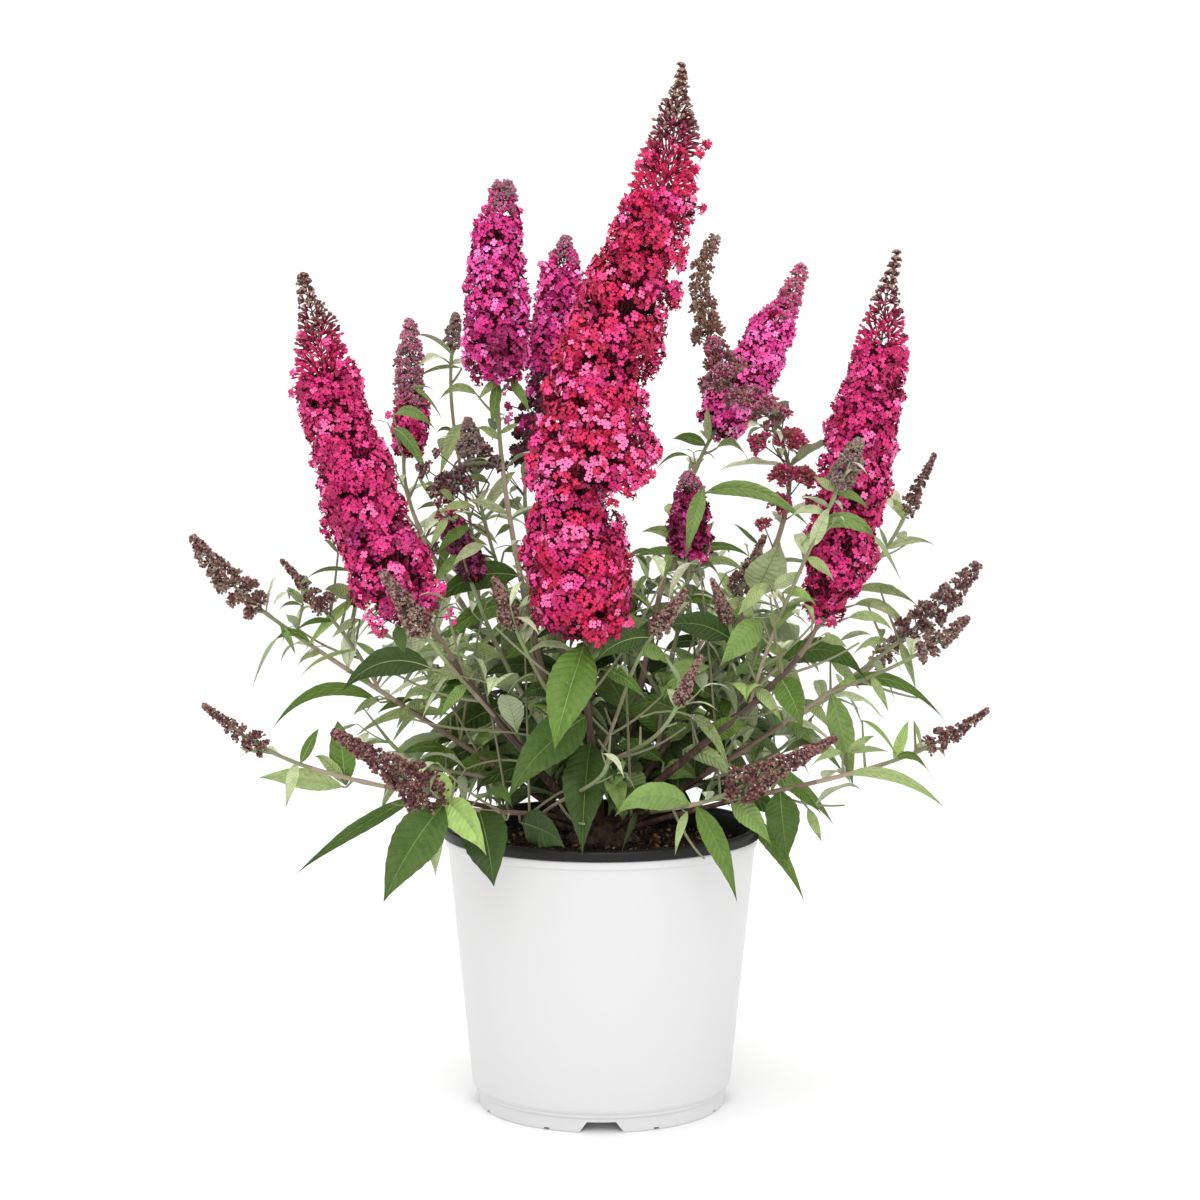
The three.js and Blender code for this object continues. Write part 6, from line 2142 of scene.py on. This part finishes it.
# Angles round the pot: even ones, and the edges of its four notches and of the nicks beside
# them, where the foot is lifted off the ground.
turns = set(np.linspace(0, 2 * math.pi, 216, endpoint=False))
for k in range(4):
    middle = math.pi / 2 * k
    for half in (NOTCH_TOP_WIDTH / 2, NOTCH_BOTTOM_WIDTH / 2, NOTCH_BOTTOM_WIDTH / 2 + 0.3):
        turns |= {(middle + half / BASE_RADIUS) % (2 * math.pi),
                  (middle - half / BASE_RADIUS) % (2 * math.pi)}
    for hand in (-1, 1):
        for edge in (-NICK_WIDTH / 2 - 0.2, -NICK_WIDTH / 2, NICK_WIDTH / 2, NICK_WIDTH / 2 + 0.2):
            turns.add((middle + hand * math.radians(NICK_ANGLE) + edge / BASE_RADIUS)
                      % (2 * math.pi))
turns = np.array(sorted(turns))
turns = turns[np.concatenate([[True], np.diff(turns) > 1e-4])]
from_notch = np.abs((turns + math.pi / 4) % (math.pi / 2) - math.pi / 4) * BASE_RADIUS
lift = np.clip((NOTCH_BOTTOM_WIDTH / 2 - from_notch) / (NOTCH_BOTTOM_WIDTH - NOTCH_TOP_WIDTH) * 2,
               0, 1) * (NOTCH_HEIGHT - 2)
from_nick = np.abs(from_notch - math.radians(NICK_ANGLE) * BASE_RADIUS)
lift = np.maximum(lift, np.where(from_nick < NICK_WIDTH / 2 + 0.05, NICK_HEIGHT, 0))

roof = CHANNEL_DEPTH + POT_WALL
pot_profile = [
    (0.5, 0), (FLOOR_DISC, 0), (FLOOR_DISC + 2, CHANNEL_DEPTH),
    (BASE_RADIUS - FOOT_WIDTH - 1.5, CHANNEL_DEPTH), (BASE_RADIUS - FOOT_WIDTH, 0),
    (BASE_RADIUS, 0), (BASE_RADIUS, FOOT_HEIGHT), (SHOULDER_RADIUS, SHOULDER_HEIGHT),
    *[(wall_radius(height), height) for height in (60, 110, 150)],
    (WALL_TOP_RADIUS, WALL_TOP), (COLLAR_RADIUS, WALL_TOP + 1), (COLLAR_RADIUS, COLLAR_TOP),
    (wall_radius(COLLAR_TOP) - POT_WALL, COLLAR_TOP), (wall_radius(roof) - POT_WALL, roof),
    (FLOOR_DISC, roof), (FLOOR_DISC - 2.5, POT_WALL + 0.5), (0.5, POT_WALL + 0.5),
]
profile = filleted(pot_profile, {1: 1.0, 4: 0.8, 5: 1.2, 6: 1.6, 7: 1.8, 12: 0.5, 13: 0.8})
foot = ((profile[:, 0] > BASE_RADIUS - FOOT_WIDTH - 0.6) & (profile[:, 1] < NOTCH_HEIGHT - 3)
        & (profile[:, 0] < BASE_RADIUS + 0.1)).astype(float)
pot = turned_piece("pot_shell", "white_plastic", ["pot"], white,
                   np.column_stack([profile, foot]), turns, lift[None])
pot.build(32)

black = material("black_plastic", (17, 15, 14), 0.42, 0.28)
join_shader(black, "Roughness", node(black, "ShaderNodeMapRange", {
    "Value": noise(black, 60.0, 3.0), "To Min": 0.36, "To Max": 0.52}).outputs[0])
add_bump(black, noise(black, 900.0, 2.0), 0.00005)


def liner_radius(height):
    """Outside of the rim's inner skirt."""
    return wall_radius(height) - LINER_GAP


rim_seat = COLLAR_TOP + SEAT
rim_profile = [
    (liner_radius(LINER_BOTTOM), LINER_BOTTOM), (liner_radius(rim_seat), rim_seat),
    (RIM_RADIUS, rim_seat), (RIM_RADIUS, RIM_TOP), (liner_radius(RIM_TOP) - 1.2, RIM_TOP),
    (liner_radius(RIM_TOP - 4) - LINER_WALL, RIM_TOP - 4),
    (liner_radius(LINER_BOTTOM) - LINER_WALL, LINER_BOTTOM),
]
profile = filleted(rim_profile, {2: 1.0, 3: 2.6, 4: 1.6, 5: 1.0})
even = np.linspace(0, 2 * math.pi, 240, endpoint=False)
turned_piece("rim_band", "black_plastic", ["pot_rim"], black,
             np.column_stack([profile, np.zeros(len(profile))]), even).build(35)

earth = material("potting_mix", (44, 30, 22), 0.95, 0.2)
grains = noise(earth, 320.0, 6.0, 0.7)
tinted(earth, grains, [(0.34, (16, 11, 8)), (0.52, (46, 32, 23)), (0.68, (78, 57, 40)),
                       (0.8, (140, 112, 82))])
add_bump(earth, grains, 0.0015)
CRUMB_MATERIALS = [earth, material("bark_chip_dark", (40, 28, 21), 0.9, 0.2),
                   material("bark_chip_brown", (82, 58, 40), 0.9, 0.2),
                   material("bark_chip_tan", (136, 106, 76), 0.9, 0.2),
                   material("pale_granule", (186, 160, 118), 0.85, 0.2)]
CHIP_DARK, CHIP_BROWN, CHIP_TAN, GRANULE = range(1, 5)
SOIL_INSET = 1.9
SOIL_SIDES = 128
SOIL_RINGS = 46
CRUMB_COUNT = 1300
GRANULE_SCALE = 0.55

soil_piece = Piece("soil_surface", "potting_mix", ["soil"], CRUMB_MATERIALS)
edge = liner_radius(LINER_BOTTOM) - SOIL_INSET
rings = np.linspace(0.5, edge, SOIL_RINGS)
turns = np.linspace(0, 2 * math.pi, SOIL_SIDES, endpoint=False)
level = np.interp(rings, [0, 34, 58, edge], [SOIL_TOP, SOIL_TOP, SOIL_EDGE + 2.5, SOIL_EDGE])
x, y = rings[:, None] * np.cos(turns), rings[:, None] * np.sin(turns)
swell = (0.9 * np.sin(x / 11 + 1) * np.cos(y / 13) + 0.6 * np.sin(x / 5.1 + y / 6.3)
         + 0.4 * np.sin(x / 2.3 - y / 2.9))
rough = rng.uniform(-0.7, 0.7, x.shape)
height = level[:, None] + (swell + rough) * np.clip((edge - rings[:, None]) / 6, 0.2, 1) - 0.9
soil_piece.add(np.stack([x, y, height], axis=-1).reshape(-1, 3),
               grid(SOIL_RINGS, SOIL_SIDES, True), 0)
CRUMB = lathe_shape([(0, -0.5), (0.5, -0.15), (0.42, 0.25), (0, 0.5)], 4, [0, 0, 0])
across = edge * np.sqrt(rng.uniform(0.03, 0.985, CRUMB_COUNT))
turn = rng.uniform(0, 6.28, CRUMB_COUNT)
lie = np.interp(across, rings, level) + rng.uniform(-1.0, 0.7, CRUMB_COUNT)
places = np.stack([across * np.cos(turn), across * np.sin(turn), lie], axis=1)
sizes = rng.uniform(0.8, 4.2, (CRUMB_COUNT, 3)) * rng.choice([0.6, 1.0, 1.6], (CRUMB_COUNT, 1))
sizes[:, 2] = np.minimum(sizes[:, 2], 3.0)
tone = rng.choice([CHIP_DARK, CHIP_BROWN, CHIP_TAN, GRANULE], CRUMB_COUNT,
                  p=[0.45, 0.33, 0.14, 0.08])
tone = np.where((across > edge - 10) & (rng.random(CRUMB_COUNT) < 0.3), GRANULE, tone)
sizes[tone == GRANULE] *= GRANULE_SCALE
stamp(soil_piece, CRUMB, places, rng.normal(0, 1, (CRUMB_COUNT, 3)),
      rng.uniform(0, 6.28, CRUMB_COUNT), sizes, tone[:, None])
soil_piece.build(30)


# ---------------------------------------------------------------------------
# Floor, light and camera
# ---------------------------------------------------------------------------

# From here on lengths are in metres, as in Blender.
FLOOR_RADIUS = 9
FLOOR_SIDES = 96
floor_mesh = bpy.data.meshes.new("floor")
turns = [2 * math.pi * k / FLOOR_SIDES for k in range(FLOOR_SIDES)]
ring = [(FLOOR_RADIUS * math.cos(turn), FLOOR_RADIUS * math.sin(turn), 0) for turn in turns]
floor_mesh.from_pydata(ring, [], [range(FLOOR_SIDES)])
floor = bpy.data.objects.new("floor", floor_mesh)
floor_mesh.materials.append(material("floor_white", (243, 243, 243), 0.8, 0.1))
bpy.context.scene.collection.objects.link(floor)

world = bpy.data.worlds.new("studio")
world.use_nodes = True
background = world.node_tree.nodes["Background"]
background.inputs["Color"].default_value = (1, 1, 1, 1)
background.inputs["Strength"].default_value = 1.12
bpy.context.scene.world = world


def softbox(name, place, aim, size, watts):
    """A large square studio light."""
    lamp = bpy.data.lights.new(name, "AREA")
    lamp.size, lamp.energy = size, watts
    made = bpy.data.objects.new(name, lamp)
    made.location = place
    facing = unit(np.array(aim) - np.array(place))
    made.rotation_euler = (math.acos(-facing[2]), 0, math.atan2(-facing[0], facing[1]))
    bpy.context.scene.collection.objects.link(made)


softbox("key", (0.2, -2.3, 2.0), (0, 0, 0.35), 1.6, 26)
softbox("top", (-0.5, 0.2, 2.6), (0, 0, 0.3), 1.8, 18)

# Focal length and frame width in pixels, sensor width in millimetres, pitch in radians.
FOCAL_LENGTH = 2554.4
FRAME_WIDTH = 1200
SENSOR_WIDTH = 36
CAMERA_PITCH = 0.080
camera = bpy.data.objects.new("camera", bpy.data.cameras.new("camera"))
camera.data.sensor_width = SENSOR_WIDTH
camera.data.lens = FOCAL_LENGTH / FRAME_WIDTH * SENSOR_WIDTH
camera.location = EYE / METRE
camera.rotation_euler = (math.pi / 2 - CAMERA_PITCH, 0, 0)
bpy.context.scene.collection.objects.link(camera)
bpy.context.scene.camera = camera
bpy.context.scene.view_settings.view_transform = "Standard"
